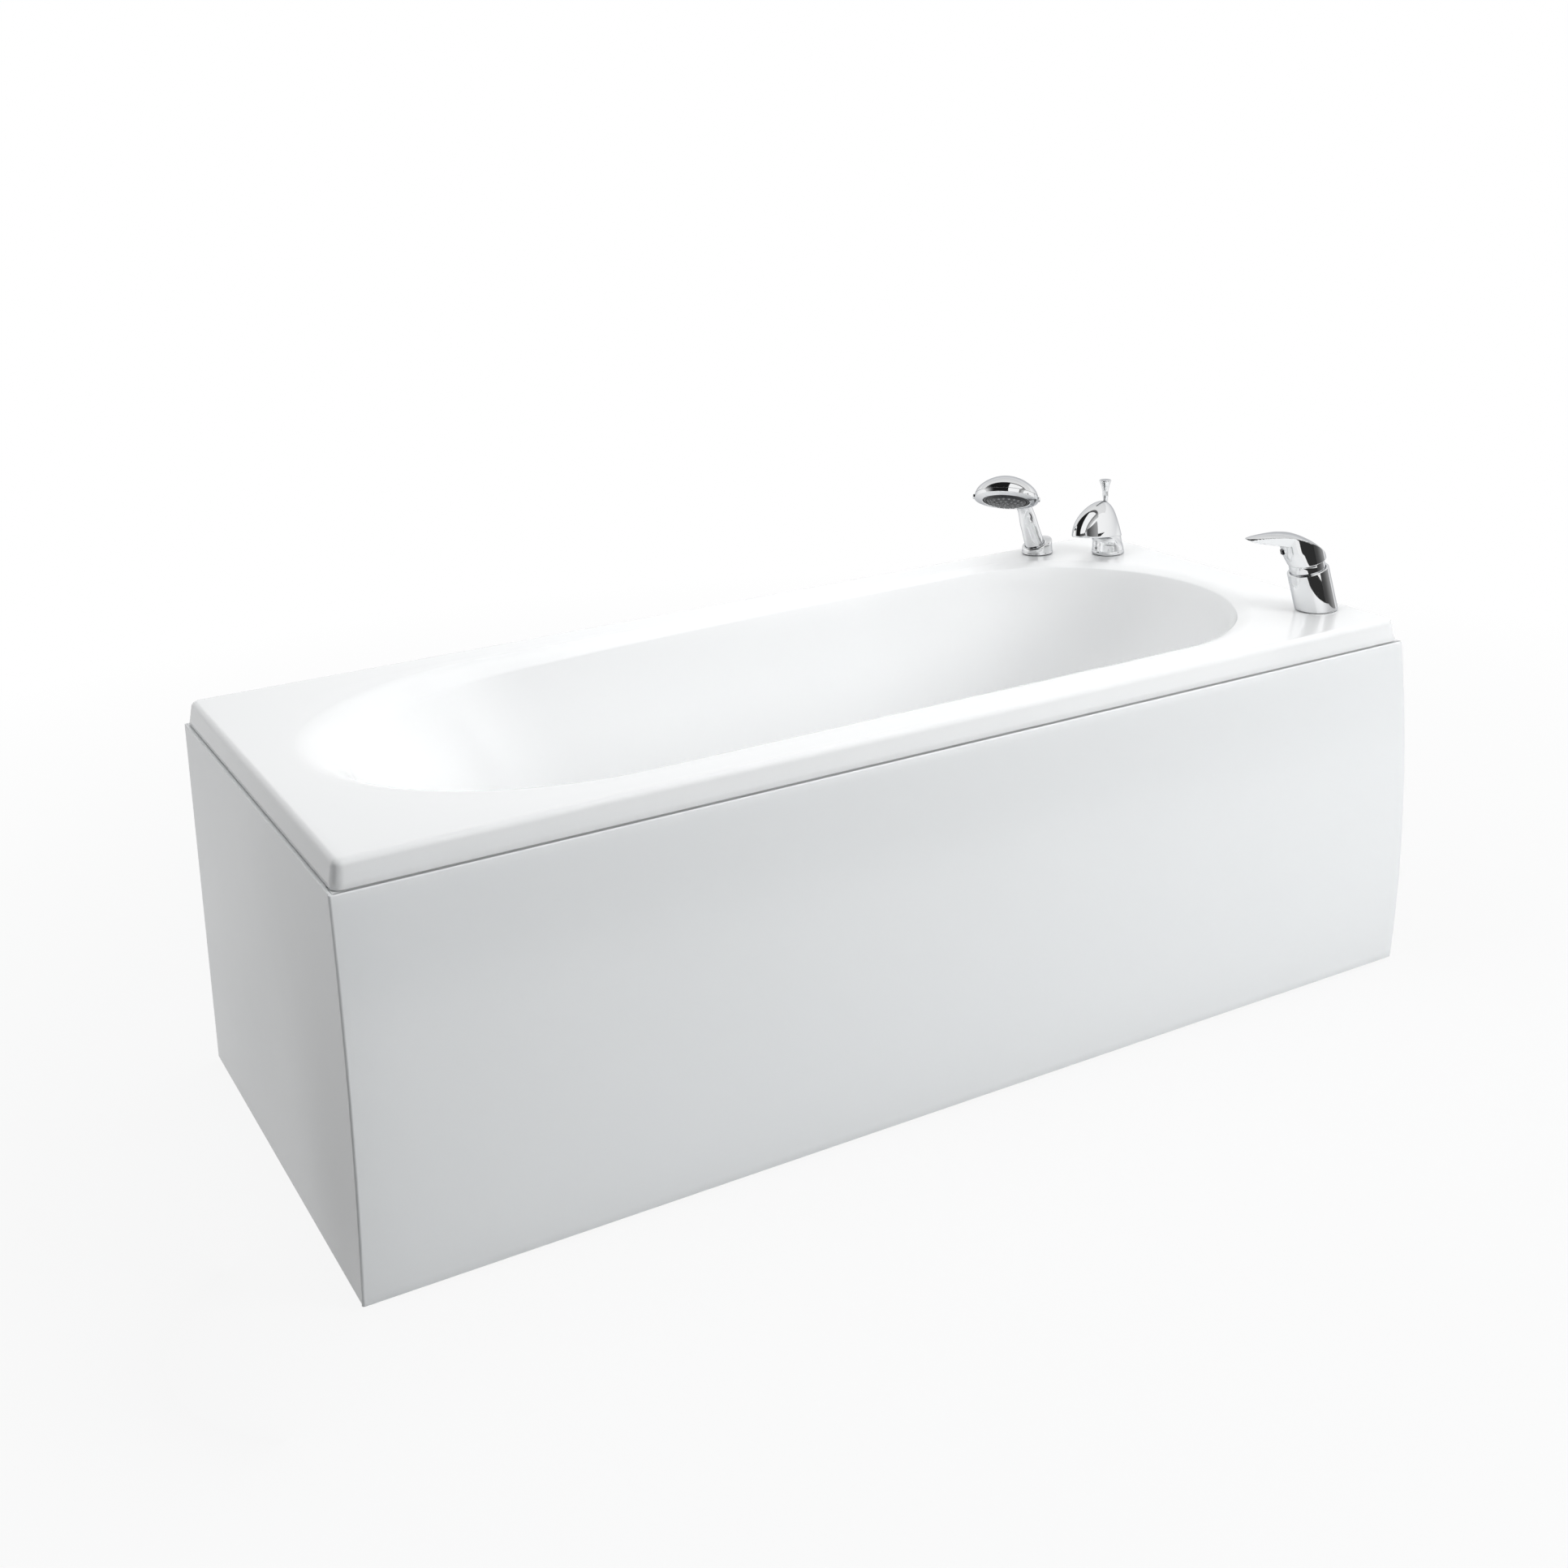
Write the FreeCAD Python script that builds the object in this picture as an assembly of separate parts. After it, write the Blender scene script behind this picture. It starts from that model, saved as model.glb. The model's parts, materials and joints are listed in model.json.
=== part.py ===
import FreeCAD, Part

import math
import os

from FreeCAD import Placement, Rotation, Vector

# Driving dimensions in millimetres and degrees.
# X runs along the tub with the fittings at +X, the front is at -Y and Z goes up from the floor.

# Rim and basin of the tub shell.
rim_length = 1600.0
rim_width = 700.0
rim_height = 540.0
lip_height = 33.0
lip_flare = 6.0
rim_corner = 14.0
rim_edge = 9.0
skin = 6.0
head_deck = 64.0
tap_deck = 70.0
side_deck = 63.0
head_round = 350.0
tap_round = 260.0
head_band = 70.0
tap_band = 24.0
side_band = 22.0
head_drop = 40.0
tap_drop = 6.0
drop_power = 3.0
roll_power = 1.8
roll_share = 0.5
mouth_flare = 9.0
mouth_over = 3.0
floor_rise = 140.0
back_run = 276.0
tap_run = 90.0
side_run = 65.0
floor_head_round = 220.0
floor_tap_round = 180.0
floor_run = 60.0
wall_straight = 0.75
wall_rings = 5
turn_rings = 3
arc_steps = 6
side_steps = 10

# Rim battens, baseboard and legs.
batten_width = 28.0
batten_height = 22.0
batten_gap = 3.0
board_thick = 18.0
board_head_in = 90.0
board_tap_gap = 14.0
board_inset = 12.0
board_side_in = 75.0
bar_head_in = 130.0
bar_tap_gap = 90.0
bar_past_foot = 30.0
bar_width = 40.0
bar_height = 25.0
bar_sheet = 2.5
foot_out = 35.0
stud_radius = 6.0
stud_play = 0.08
stud_above = 28.0
pad_radius = 26.0
pad_height = 14.0
pad_neck = 12.0
nut_flats = 19.0
nut_height = 10.0
wood_screw_radius = 2.5
wood_screw_head = 5.0
wood_screw_cap = 2.5
wood_screw_bite = 12.0
screw_play = 0.05
bar_screw_outer = 30.0
bar_screw_inner = 80.0

# Panels and what holds them.
sheet = 4.0
panel_gap = 3.0
panel_proud = 4.0
panel_bulge = 14.0
panel_bulge_down = 214.0
panel_tuck = 7.0
panel_floor_gap = 4.0
panel_flange = 24.0
panel_edge = 3.0
corner_joint = 0.3
panel_end_proud = 1.0
wall_hole_radius = 2.6
wall_hole_low = 130.0
wall_hole_down = 124.0
clip_width = 40.0
clip_sheet = 2.5
clip_screw_in = 6.5
clip_front_in = 200.0
clip_front_count = 4
clip_end_in = 200.0
block_size = 40.0
block_low = 110.0
block_down = 114.0
stay_width = 30.0
stay_sheet = 3.0

# Waste, trap and overflow.
drain_in = 216.0
drain_hole = 27.0
flange_radius = 36.0
flange_thick = 2.5
waste_tube = 25.5
waste_bore = 22.5
waste_seal_thick = 3.0
waste_radius = 30.0
waste_height = 36.0
tail_radius = 20.0
tail_wall = 3.0
tail_length = 52.0
trap_nut_radius = 28.0
trap_nut_height = 14.0
trap_radius = 42.0
trap_height = 64.0
trap_wall = 3.0
outlet_radius = 20.0
outlet_wall = 2.5
outlet_short = 120.0
outlet_down = 1.0
outlet_boss = 22.5
outlet_boss_reach = 10.0
plug_radius = 30.0
plug_thick = 5.0
plug_rim = 2.5
plug_crown = 0.5
plug_crown_radius = 18.0
plug_stem = 5.0
plug_seat = 0.3
run_play = 0.06
guide_thick = 5.0
guide_rib = 4.0
guide_hub = 9.0
guide_lap = 0.5
overflow_down = 70.0
overflow_hole = 26.0
overflow_face = 35.0
overflow_ring = 3.5
overflow_spot = 0.9
overflow_wall = 5.2
overflow_barrel = 12.0
overflow_gap = 6.0
knob_thick = 14.0
knob_shaft = 5.0
knob_grip = 5.0
knob_grip_half = 24.5
knob_back_edge = 3.0
knob_front_edge = 4.0
knob_lap = 1.0
cup_radius = 34.0
cup_depth = 40.0
cup_wall = 3.0
over_pipe_radius = 14.0
over_pipe_wall = 2.0
over_pipe_bend = 50.0
stub_wall = 2.5
stub_length = 16.0
cable_radius = 3.0
cable_offset = 25.5
cable_bend = 60.0

# Shanks, washers, nuts and gaskets under the three fittings.
shank_radius = 14.0
shank_bore = 11.5
shank_length = 50.0
shank_inset = 8.0
shank_end = 12.0
hole_play = 1.0
gasket_radius = 25.0
gasket_thick = 1.0
washer_radius = 24.0
washer_thick = 2.0
deck_nut_flats = 40.0
deck_nut_height = 12.0
tube_radius = 5.0
tube_wall = 1.0
tube_circle = 6.2
tube_bend = 25.0
tail_spread = 26.0
tail_turn_down = 100.0
tail_end_down = 250.0
mixed_down = 100.0
hot_turn = 210.0
cold_turn = 330.0
mixed_turn = 90.0

# Mixer, leaning towards the basin. Heights run along its leaning axis from the deck.
mixer_in = 59.0
mixer_from_front = 109.5
mixer_facing = 162.0
mixer_lean = 13.0
body_radius = 31.0
body_height = 64.5
body_edge = 1.5
cartridge_radius = 20.0
cartridge_low = 18.0
cartridge_top = 50.0
cartridge_nut_thick = 6.0
collar_radius = 26.5
collar_wall = 2.0
collar_opening = 16.5
collar_seat = 0.3
pivot_height = 71.0
turret_radius = 14.0
turret_top = 80.0
pin_radius = 2.5
pin_half = 12.5
stem_half_x = 5.0
stem_half_y = 4.4
stem_low = 63.0
stem_top = 110.0
stem_room = 2.0
slot_half = 4.8
hub_radius = 30.0
hub_low = 77.0
hub_back = 4.0
hub_front_in = 3.0
hub_cavity = 27.6
lever_front = 33.0
lever_step = 113.0
lever_tip_x = 85.0
lever_tip_z = 141.0
lever_tip_low_x = 72.0
lever_tip_low_z = 130.0
lever_tip_radius = 13.0
lever_crown = ((56.0, 138.0), (28.0, 131.5), (8.0, 123.0), (-11.0, 108.5), (-24.0, 93.0))
plug_height = 99.0
index_half = 3.5
index_proud = 2.0
index_deep = 6.0
grub_radius = 3.0
grub_length = 8.0

# Spout with its diverter. Heights run up from the deck.
spout_in = 85.0
spout_from_back = 126.5
spout_facing = 200.0
spout_base = 26.5
spout_waist = 25.0
spout_neck = 24.6
spout_lap = 5.0
spout_reach = 100.0
spout_back = 22.0
spout_half = 25.5
hood_low = 47.0
hood_top = 94.0
hood_apex = 24.0
hood_power = 2.4
lip_slope = 0.15
hood_levels = (0.0, 0.2, 0.4, 0.6, 0.76, 0.88, 0.95, 0.985)
outlet_x = 70.0
outlet_half_x = 21.0
outlet_half_y = 14.0
outlet_deep = 20.0
insert_thick = 7.0
insert_inset = 4.0
insert_play = 0.05
insert_slot_x = 15.75
insert_slot_y = 8.4
insert_bar = 2.0
insert_bar_half = 9.8
duct_radius = 8.0
diverter_x = 6.0
diverter_stem = 4.0
diverter_bore = 10.5
valve_radius = 9.0
valve_low = 26.0
valve_thick = 4.0
valve_roof = 70.0
knob_low = 3.0
knob_rise = 31.0
knob_neck = 4.5
knob_waist = 5.0
knob_waist_rise = 9.3
knob_flare = 6.6
knob_flare_rise = 18.6
knob_top = 10.0
knob_crown = 8.0
knob_side = 3.0
knob_edge = 0.8
knob_edge_in = 0.5

# Hand shower in its holder. Heights run along the leaning handle from the deck.
holder_in = 178.5
holder_from_back = 52.5
holder_facing = 180.0
holder_lean = 17.0
holder_radius = 26.0
holder_height = 18.0
holder_step = 2.0
handset_turn = 31.0
handle_low = 8.5
handle_foot = 12.0
handle_wide = 16.5
handle_slim = 12.5
handle_straight = 88.0
handle_belly = 0.6
handle_bend = 0.15
handle_end_in = 26.5
handle_end_up = 16.65
handle_bore = 5.0
seat_play = 0.3
nipple_radius = 6.5
nipple_length = 12.0
nipple_bore = 4.0
nipple_room = 1.5
head_offset = 53.0
head_along = 130.0
head_tilt = 42.5
head_radius = 53.0
dome_height = 37.0
dome_side = 25.0
dome_low = 4.0
dome_wall = 3.0
ring_low = -6.0
ring_play = 0.3
ring_room = 0.6
ring_chamfer = 2.0
ring_bevel = 4.0
face_radius = 39.0
face_step = 2.0
face_bulge = 6.0
face_mid_radius = 19.5
face_mid_bulge = 4.5
face_edge_radius = 33.0
face_edge_bulge = 1.2
face_top = 2.0
spindle_radius = 6.0
spindle_deep = 4.0
lug_width = 12.0
lug_turns = (24.0, 204.0)
lug_proud = 3.0
lug_root = 2.0
lug_height = 6.0


# How far cutting shapes reach past what they cut, and how close an edge lies to where it is looked for.
cut_over = 5.0
near = 0.01

# Places worked out from the sizes above.
deck_under = rim_height - skin
lip_low = rim_height - lip_height
floor_z = floor_rise
under_floor = floor_z - skin
board_low = under_floor - board_thick
bar_low = board_low - bar_height
web_low = board_low - bar_sheet
stud_top = board_low + nut_height + stud_above
panel_top = lip_low - panel_gap
panel_left = -rim_length / 2 - sheet - panel_end_proud
panel_bulge_z = panel_top - panel_bulge_down
wall_hole_zs = (wall_hole_low, panel_top - wall_hole_down)
block_zs = (block_low, panel_top - block_down)
open_head_x = -rim_length / 2 + head_deck
open_tap_x = rim_length / 2 - tap_deck
open_half = rim_width / 2 - side_deck
crease_head_x = open_head_x + head_band
crease_tap_x = open_tap_x - tap_band
crease_half = open_half - side_band
floor_head_x = crease_head_x + back_run
floor_tap_x = crease_tap_x - tap_run
floor_half = crease_half - side_run
drain_x = floor_tap_x - drain_in
overflow_z = rim_height - overflow_down
outlet_end_y = rim_width / 2 - outlet_short
bar_head_x = floor_head_x + bar_head_in
bar_tap_x = drain_x - bar_tap_gap
board_head_x = floor_head_x + board_head_in
board_half = floor_half - board_side_in
foot_y = floor_half + foot_out
bar_half = foot_y + bar_past_foot
bar_screw_ys = [way * (board_half - inset) for way in (-1, 1) for inset in (bar_screw_outer, bar_screw_inner)]
clip_end_ys = [way * (rim_width / 2 - clip_end_in) for way in (-1, 1)]
clip_reach = rim_length / 2 - clip_front_in
clip_front_xs = [clip_reach * (2 * step / (clip_front_count - 1) - 1) for step in range(clip_front_count)]
mixer_x = rim_length / 2 - mixer_in
mixer_y = mixer_from_front - rim_width / 2
spout_x = rim_length / 2 - spout_in
spout_y = rim_width / 2 - spout_from_back
holder_x = rim_length / 2 - holder_in
holder_y = rim_width / 2 - holder_from_back
tail_turn_z = rim_height - tail_turn_down
tail_end_z = rim_height - tail_end_down
mixed_z = rim_height - mixed_down
shank_low = deck_under - shank_length
fitting_low = rim_height + gasket_thick


def box(x0, x1, y0, y1, z0, z1):
    return Part.makeBox(x1 - x0, y1 - y0, z1 - z0, Vector(x0, y0, z0))


def rod(radius, z0, z1, x=0.0, y=0.0):
    return Part.makeCylinder(radius, z1 - z0, Vector(x, y, z0))


def tube(outer, inner, z0, z1, x=0.0, y=0.0):
    return rod(outer, z0, z1, x, y).cut(rod(inner, z0, z1, x, y))


def hex_bar(flats, z0, z1, x=0.0, y=0.0):
    corner = flats / math.sqrt(3.0)
    points = []
    for side in range(7):
        turn = math.radians(60.0 * side)
        points.append(Vector(x + corner * math.cos(turn), y + corner * math.sin(turn), z0))
    return Part.Face(Part.makePolygon(points)).extrude(Vector(0, 0, z1 - z0))


def turned(points):
    # Solid of revolution about Z from (radius, height) corners.
    corners = [Vector(r, 0, z) for r, z in points]
    face = Part.Face(Part.makePolygon(corners + corners[:1]))
    return face.revolve(Vector(0, 0, 0), Vector(0, 0, 1), 360)


def placed(shape, place):
    moved = shape.copy()
    moved.Placement = place.multiply(moved.Placement)
    return moved


def at(x, y, z, turn=0.0, lean=0.0, twist=0.0):
    place = Placement(Vector(x, y, z), Rotation(Vector(0, 0, 1), turn))
    place = place.multiply(Placement(Vector(), Rotation(Vector(0, 1, 0), lean)))
    return place.multiply(Placement(Vector(), Rotation(Vector(0, 0, 1), twist)))


def joined(shapes):
    whole = shapes[0]
    for shape in shapes[1:]:
        whole = whole.fuse(shape)
    return whole.removeSplitter()


def bent_path(points, bend):
    # Straight runs through the points, with a tangent arc of radius bend at each inner corner.
    edges = []
    start = points[0]
    for before, corner, after in zip(points, points[1:], points[2:]):
        way_in = (corner - before).normalize()
        way_out = (after - corner).normalize()
        half = way_in.getAngle(way_out) / 2
        reach = bend * math.tan(half)
        first = corner - way_in * reach
        last = corner + way_out * reach
        inward = (way_out - way_in).normalize()
        middle = corner + inward * (bend / math.cos(half) - bend)
        edges.append(Part.makeLine(start, first))
        edges.append(Part.Arc(first, middle, last).toShape())
        start = last
    edges.append(Part.makeLine(start, points[-1]))
    return Part.Wire(edges)


def pipe(points, bend, radius, bore=0.0):
    path = bent_path(points, bend)
    way = (points[1] - points[0]).normalize()

    def swept(size):
        circle = Part.Wire([Part.Circle(points[0], way, size).toShape()])
        return path.makePipeShell([circle], True, False)

    solid = swept(radius)
    if bore > 0:
        solid = solid.cut(swept(bore))
    return solid


def outline(head_x, tap_x, half, head_arc, tap_arc):
    # Plan outline: half ellipses at the two ends joined by straight sides.
    tap_centre = tap_x - tap_arc
    head_centre = head_x + head_arc
    points = []

    def end_arc(centre, size, first, steps):
        for step in range(steps):
            turn = math.radians(first + 90.0 * step / arc_steps)
            points.append((centre + size * math.cos(turn), half * math.sin(turn)))

    def side(start, stop, y):
        for step in range(side_steps):
            points.append((start + (stop - start) * step / side_steps, y))

    end_arc(tap_centre, tap_arc, 0.0, arc_steps)
    side(tap_centre, head_centre, half)
    end_arc(head_centre, head_arc, 90.0, 2 * arc_steps)
    side(head_centre, tap_centre, -half)
    end_arc(tap_centre, tap_arc, 270.0, arc_steps)
    return points


def raised(points, z):
    return [Vector(x, y, z) for x, y in points]


def mixed(one, other, share):
    return [a + (b - a) * share for a, b in zip(one, other)]


def ring_wire(points):
    curve = Part.BSplineCurve()
    curve.interpolate(Points=points, PeriodicFlag=True, Parameters=list(range(len(points) + 1)))
    return Part.Wire([curve.toShape()])


def opening_outline(grow):
    return outline(open_head_x - grow, open_tap_x + grow, open_half + grow,
                   head_round + grow, tap_round + grow)


def crease_ring(grow):
    # The break line sinks from the tap end towards the head end.
    plan = outline(crease_head_x - grow, crease_tap_x + grow, crease_half + grow,
                   head_round - head_band / 2 + grow, tap_round - tap_band / 2 + grow)
    points = []
    for x, y in plan:
        share = (crease_tap_x + grow - x) / (crease_tap_x - crease_head_x + 2 * grow)
        drop = tap_drop + (head_drop - tap_drop) * max(share, 0.0) ** drop_power
        points.append(Vector(x, y, rim_height - grow - drop))
    return points


def floor_ring(grow, inset):
    plan = outline(floor_head_x + inset - grow, floor_tap_x - inset + grow, floor_half - inset + grow,
                   floor_head_round - inset + grow, floor_tap_round - inset + grow)
    return raised(plan, floor_z - grow)


def basin_solid(grow):
    # What the basin surface encloses, moved out and down by grow, and open above the deck edge.
    top = rim_height - grow
    mouth = raised(opening_outline(grow), top)
    above = raised(opening_outline(grow + mouth_flare), top + mouth_over)
    crease = crease_ring(grow)
    band = []
    for point, low in zip(mixed(mouth, crease, roll_share), crease):
        band.append(Vector(point.x, point.y, top - (top - low.z) * roll_share ** roll_power))
    corner = floor_ring(grow, 0.0)
    flat = floor_ring(grow, floor_run)
    turn_in = mixed(crease, corner, wall_straight)
    walls = [mixed(crease, turn_in, step / wall_rings) for step in range(wall_rings + 1)]
    for step in range(turn_rings):
        share = (step + 1) / turn_rings
        walls.append(mixed(mixed(turn_in, corner, share), mixed(corner, flat, share), share))
    upper = Part.makeLoft([ring_wire(r) for r in (above, mouth, band, crease)], False, False)
    lower = Part.makeLoft([ring_wire(r) for r in walls], False, False)
    faces = upper.Faces + lower.Faces
    faces.append(Part.Face(ring_wire(above)))
    faces.append(Part.Face(ring_wire(walls[-1])))
    skin_faces = Part.Compound(faces)
    skin_faces.sewShape()
    solid = Part.Solid(skin_faces.Shells[0])
    if solid.Volume < 0:
        solid.reverse()
    return solid


def rounded_plate(half_x, half_y, corner, z):
    left, right = corner - half_x, half_x - corner
    low, high = corner - half_y, half_y - corner
    edges = []
    ways = ((right, low, -90.0), (right, high, 0.0), (left, high, 90.0), (left, low, 180.0))
    ends = []
    for x, y, first in ways:
        arc_points = []
        for turn in (first, first + 45.0, first + 90.0):
            angle = math.radians(turn)
            arc_points.append(Vector(x + corner * math.cos(angle), y + corner * math.sin(angle), z))
        ends.append(arc_points)
    for index, arc_points in enumerate(ends):
        edges.append(Part.Arc(*arc_points).toShape())
        edges.append(Part.makeLine(arc_points[2], ends[(index + 1) % 4][0]))
    return Part.Wire(edges)


def rim_block(inset, low, top):
    # Block with the drafted sides of the lip, moved in by inset.
    wires = []
    for z in (low, top):
        flare = lip_flare * (z - lip_low) / lip_height
        wires.append(rounded_plate(rim_length / 2 - inset - flare, rim_width / 2 - inset - flare,
                                   rim_corner - inset / 2, z))
    return Part.makeLoft(wires, True, True)


def deck_hole(x, y):
    return rod(shank_radius + hole_play, deck_under - skin, rim_height + skin, x, y)


def tub_shell():
    block = rim_block(0.0, lip_low, rim_height)
    edges = [e for e in block.Edges if min(v.Z for v in e.Vertexes) > rim_height - near]
    block = block.makeFillet(rim_edge, edges)
    rim = block.cut(rim_block(skin, lip_low - skin, deck_under))
    shell = rim.fuse(basin_solid(skin)).cut(basin_solid(0.0))
    for x, y in fitting_spots:
        shell = shell.cut(deck_hole(x, y))
    shell = shell.cut(rod(drain_hole, under_floor - skin, floor_z + skin, drain_x))
    shell = shell.cut(placed(rod(overflow_hole, -4 * skin, 4 * skin), overflow_place))
    shell = shell.cut(placed(rod(overflow_face + hole_play, 0.0, 2 * skin), overflow_place))
    return shell.cut(placed(rod(cup_radius + hole_play, -3 * skin, -overflow_wall), overflow_place))


def batten_reach(along):
    # Outer face of a batten, just inside the lip at the height of the underside of the deck.
    flare = lip_flare * (deck_under - lip_low) / lip_height
    return along / 2 - flare - skin - batten_gap


def batten(x0, x1, y0, y1):
    return box(x0, x1, y0, y1, deck_under - batten_height, deck_under)


def long_batten(way, stop):
    far = batten_reach(rim_width)
    half = batten_reach(rim_length) - batten_width - batten_gap
    near = far - batten_width
    return batten(-half, min(half, stop), min(way * near, way * far), max(way * near, way * far))


def end_batten(way, half):
    far = batten_reach(rim_length)
    near = far - batten_width
    return batten(min(way * near, way * far), max(way * near, way * far), -half, half)


def clip_screw_spots():
    front = batten_reach(rim_width) - batten_width + clip_screw_in
    left = batten_reach(rim_length) - batten_width + clip_screw_in
    return [(x, -front) for x in clip_front_xs] + [(-left, y) for y in clip_end_ys]


def wood_screw(x, y, head_top):
    # Screw driven upwards; its head ends at head_top.
    head = rod(wood_screw_head, head_top - wood_screw_cap, head_top, x, y)
    return head.fuse(rod(wood_screw_radius, head_top, head_top + wood_screw_bite, x, y))


def with_screw_holes(shape, spots, low):
    for x, y in spots:
        shape = shape.cut(rod(wood_screw_radius + screw_play, low - wood_screw_bite,
                              low + wood_screw_bite + screw_play, x, y))
    return shape


def bow_circle():
    # Centre and radius of the arc through the top, the widest place and the foot of the front panel.
    y1, z1 = -rim_width / 2 - panel_proud, panel_top
    y2, z2 = -rim_width / 2 - panel_bulge, panel_bulge_z
    y3, z3 = -rim_width / 2 + panel_tuck, panel_floor_gap
    d = 2 * (y1 * (z2 - z3) + y2 * (z3 - z1) + y3 * (z1 - z2))
    s1, s2, s3 = y1 * y1 + z1 * z1, y2 * y2 + z2 * z2, y3 * y3 + z3 * z3
    yc = (s1 * (z2 - z3) + s2 * (z3 - z1) + s3 * (z1 - z2)) / d
    zc = (s1 * (y3 - y2) + s2 * (y1 - y3) + s3 * (y2 - y1)) / d
    return yc, zc, math.hypot(y1 - yc, z1 - zc)


def bow_y(z, inset):
    yc, zc, radius = bow_circle()
    return yc - math.sqrt((radius - inset) ** 2 - (z - zc) ** 2)


def bow_arc(z0, z1, inset, x):
    ends = [Vector(x, bow_y(z, inset), z) for z in (z0, (z0 + z1) / 2, z1)]
    return Part.Arc(*ends).toShape()


def bow_front():
    yc, zc, radius = bow_circle()
    return yc - radius


def front_panel():
    x = panel_left
    top, low = panel_top, panel_floor_gap
    corners = [
        Vector(x, bow_y(low, 0), low),
        Vector(x, bow_y(low, 0) + panel_flange, low),
        Vector(x, bow_y(low, 0) + panel_flange, low + sheet),
        Vector(x, bow_y(low + sheet, sheet), low + sheet),
        Vector(x, bow_y(top - sheet, sheet), top - sheet),
        Vector(x, bow_y(top, 0) + panel_flange, top - sheet),
        Vector(x, bow_y(top, 0) + panel_flange, top),
        Vector(x, bow_y(top, 0), top),
    ]
    edges = [Part.makeLine(a, b) for a, b in zip(corners[:3], corners[1:4])]
    edges.append(bow_arc(low + sheet, top - sheet, sheet, x))
    edges += [Part.makeLine(a, b) for a, b in zip(corners[4:7], corners[5:8])]
    edges.append(bow_arc(top, low, 0, x))
    panel = Part.Face(Part.Wire(edges)).extrude(Vector(rim_length / 2 - x, 0, 0))
    panel = panel.cut(end_outline(x, sheet).extrude(Vector(sheet + panel_end_proud + corner_joint, 0, 0)))
    soft = []
    for edge in panel.Edges:
        zs = [v.Z for v in edge.Vertexes]
        long_edge = edge.Length > rim_length
        outer = edge.Vertexes[0].Y < bow_y(edge.Vertexes[0].Z, 0) + near
        if long_edge and outer and (min(zs) > top - near or max(zs) < low + near):
            soft.append(edge)
    return panel.makeFillet(panel_edge, soft)


def end_outline(x, inset):
    # Side view of the tub under the lip: bowed in front, straight at the back.
    top, low = panel_top, panel_floor_gap
    back = rim_width / 2
    corners = [
        Vector(x, bow_y(low, inset), low),
        Vector(x, back, low),
        Vector(x, back, top),
        Vector(x, bow_y(top, inset), top),
    ]
    edges = [Part.makeLine(a, b) for a, b in zip(corners[:3], corners[1:])]
    edges.append(bow_arc(top, low, inset, x))
    return Part.Face(Part.Wire(edges))


def end_panel():
    x0, x1 = -rim_length / 2 - sheet, -rim_length / 2
    top, low = panel_top, panel_floor_gap
    back = rim_width / 2
    face = end_outline(x0, sheet + corner_joint).extrude(Vector(sheet, 0, 0))
    start = bow_y(top, 0) + panel_flange + sheet
    foot = bow_y(low, 0) + panel_flange + sheet
    upper = box(x1, x1 + panel_flange, start, back, top - sheet, top)
    lower = box(x1, x1 + panel_flange, foot, back, low, low + sheet)
    rear = box(x1, x1 + panel_flange, back - sheet, back, low, top)
    for z in wall_hole_zs:
        hole = Part.makeCylinder(wall_hole_radius, 3 * sheet, Vector(wall_hole_x, back - 2 * sheet, z),
                                 Vector(0, 1, 0))
        rear = rear.cut(hole)
    return joined([face, upper, lower, rear])


def panel_clip(reach, flange_in):
    # Clip along X on a batten underside; the panel lies at -Y. Its foot holds the panel flange up.
    under = deck_under - batten_height
    foot_top = panel_top - sheet
    back = -reach + batten_width
    leg = flange_in + clip_sheet
    plate = box(-clip_width / 2, clip_width / 2, leg, back, under - clip_sheet, under)
    drop = box(-clip_width / 2, clip_width / 2, leg, leg + clip_sheet, foot_top - clip_sheet, under)
    foot = box(-clip_width / 2, clip_width / 2, flange_in - panel_flange / 2, leg + clip_sheet,
               foot_top - clip_sheet, foot_top)
    clip = joined([plate, drop, foot])
    spot = -reach + batten_width - clip_screw_in
    return with_screw_holes(clip, [(0.0, spot)], under)


def panel_clips():
    front = panel_clip(batten_reach(rim_width), bow_y(panel_top, 0) + panel_flange)
    end = panel_clip(batten_reach(rim_length), -rim_length / 2 + panel_flange)
    clips = [placed(front, at(x, 0, 0)) for x in clip_front_xs]
    clips += [placed(end, at(0, y, 0, -90.0)) for y in clip_end_ys]
    return Part.Compound(clips)


def wood_screws():
    clip_low = deck_under - batten_height - clip_sheet
    screws = [wood_screw(x, y, clip_low) for x, y in clip_screw_spots()]
    screws += [wood_screw(x, y, web_low) for x in (bar_head_x, bar_tap_x) for y in bar_screw_ys]
    return Part.Compound(screws)


def corner_blocks():
    # Blocks glued into the corner between the two panels, shaped to the bow.
    blocks = []
    x = -rim_length / 2
    for z in block_zs:
        z0, z1 = z - block_size / 2, z + block_size / 2
        deep = bow_y(z, sheet) + block_size
        edges = [
            bow_arc(z0, z1, sheet, x),
            Part.makeLine(Vector(x, bow_y(z1, sheet), z1), Vector(x, deep, z1)),
            Part.makeLine(Vector(x, deep, z1), Vector(x, deep, z0)),
            Part.makeLine(Vector(x, deep, z0), Vector(x, bow_y(z0, sheet), z0)),
        ]
        blocks.append(Part.Face(Part.Wire(edges)).extrude(Vector(block_size, 0, 0)))
    return Part.Compound(blocks)


def baseboard():
    board_tap_x = drain_x - flange_radius - board_tap_gap
    board = box(board_head_x, board_tap_x, -board_half, board_half, board_low, under_floor)
    flat = Part.Face(ring_wire(floor_ring(skin, floor_run + board_inset)))
    board = board.common(flat.extrude(Vector(0, 0, -board_thick)))
    spots = [(x, y) for x in (bar_head_x, bar_tap_x) for y in bar_screw_ys]
    return with_screw_holes(board, spots, board_low)


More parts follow.
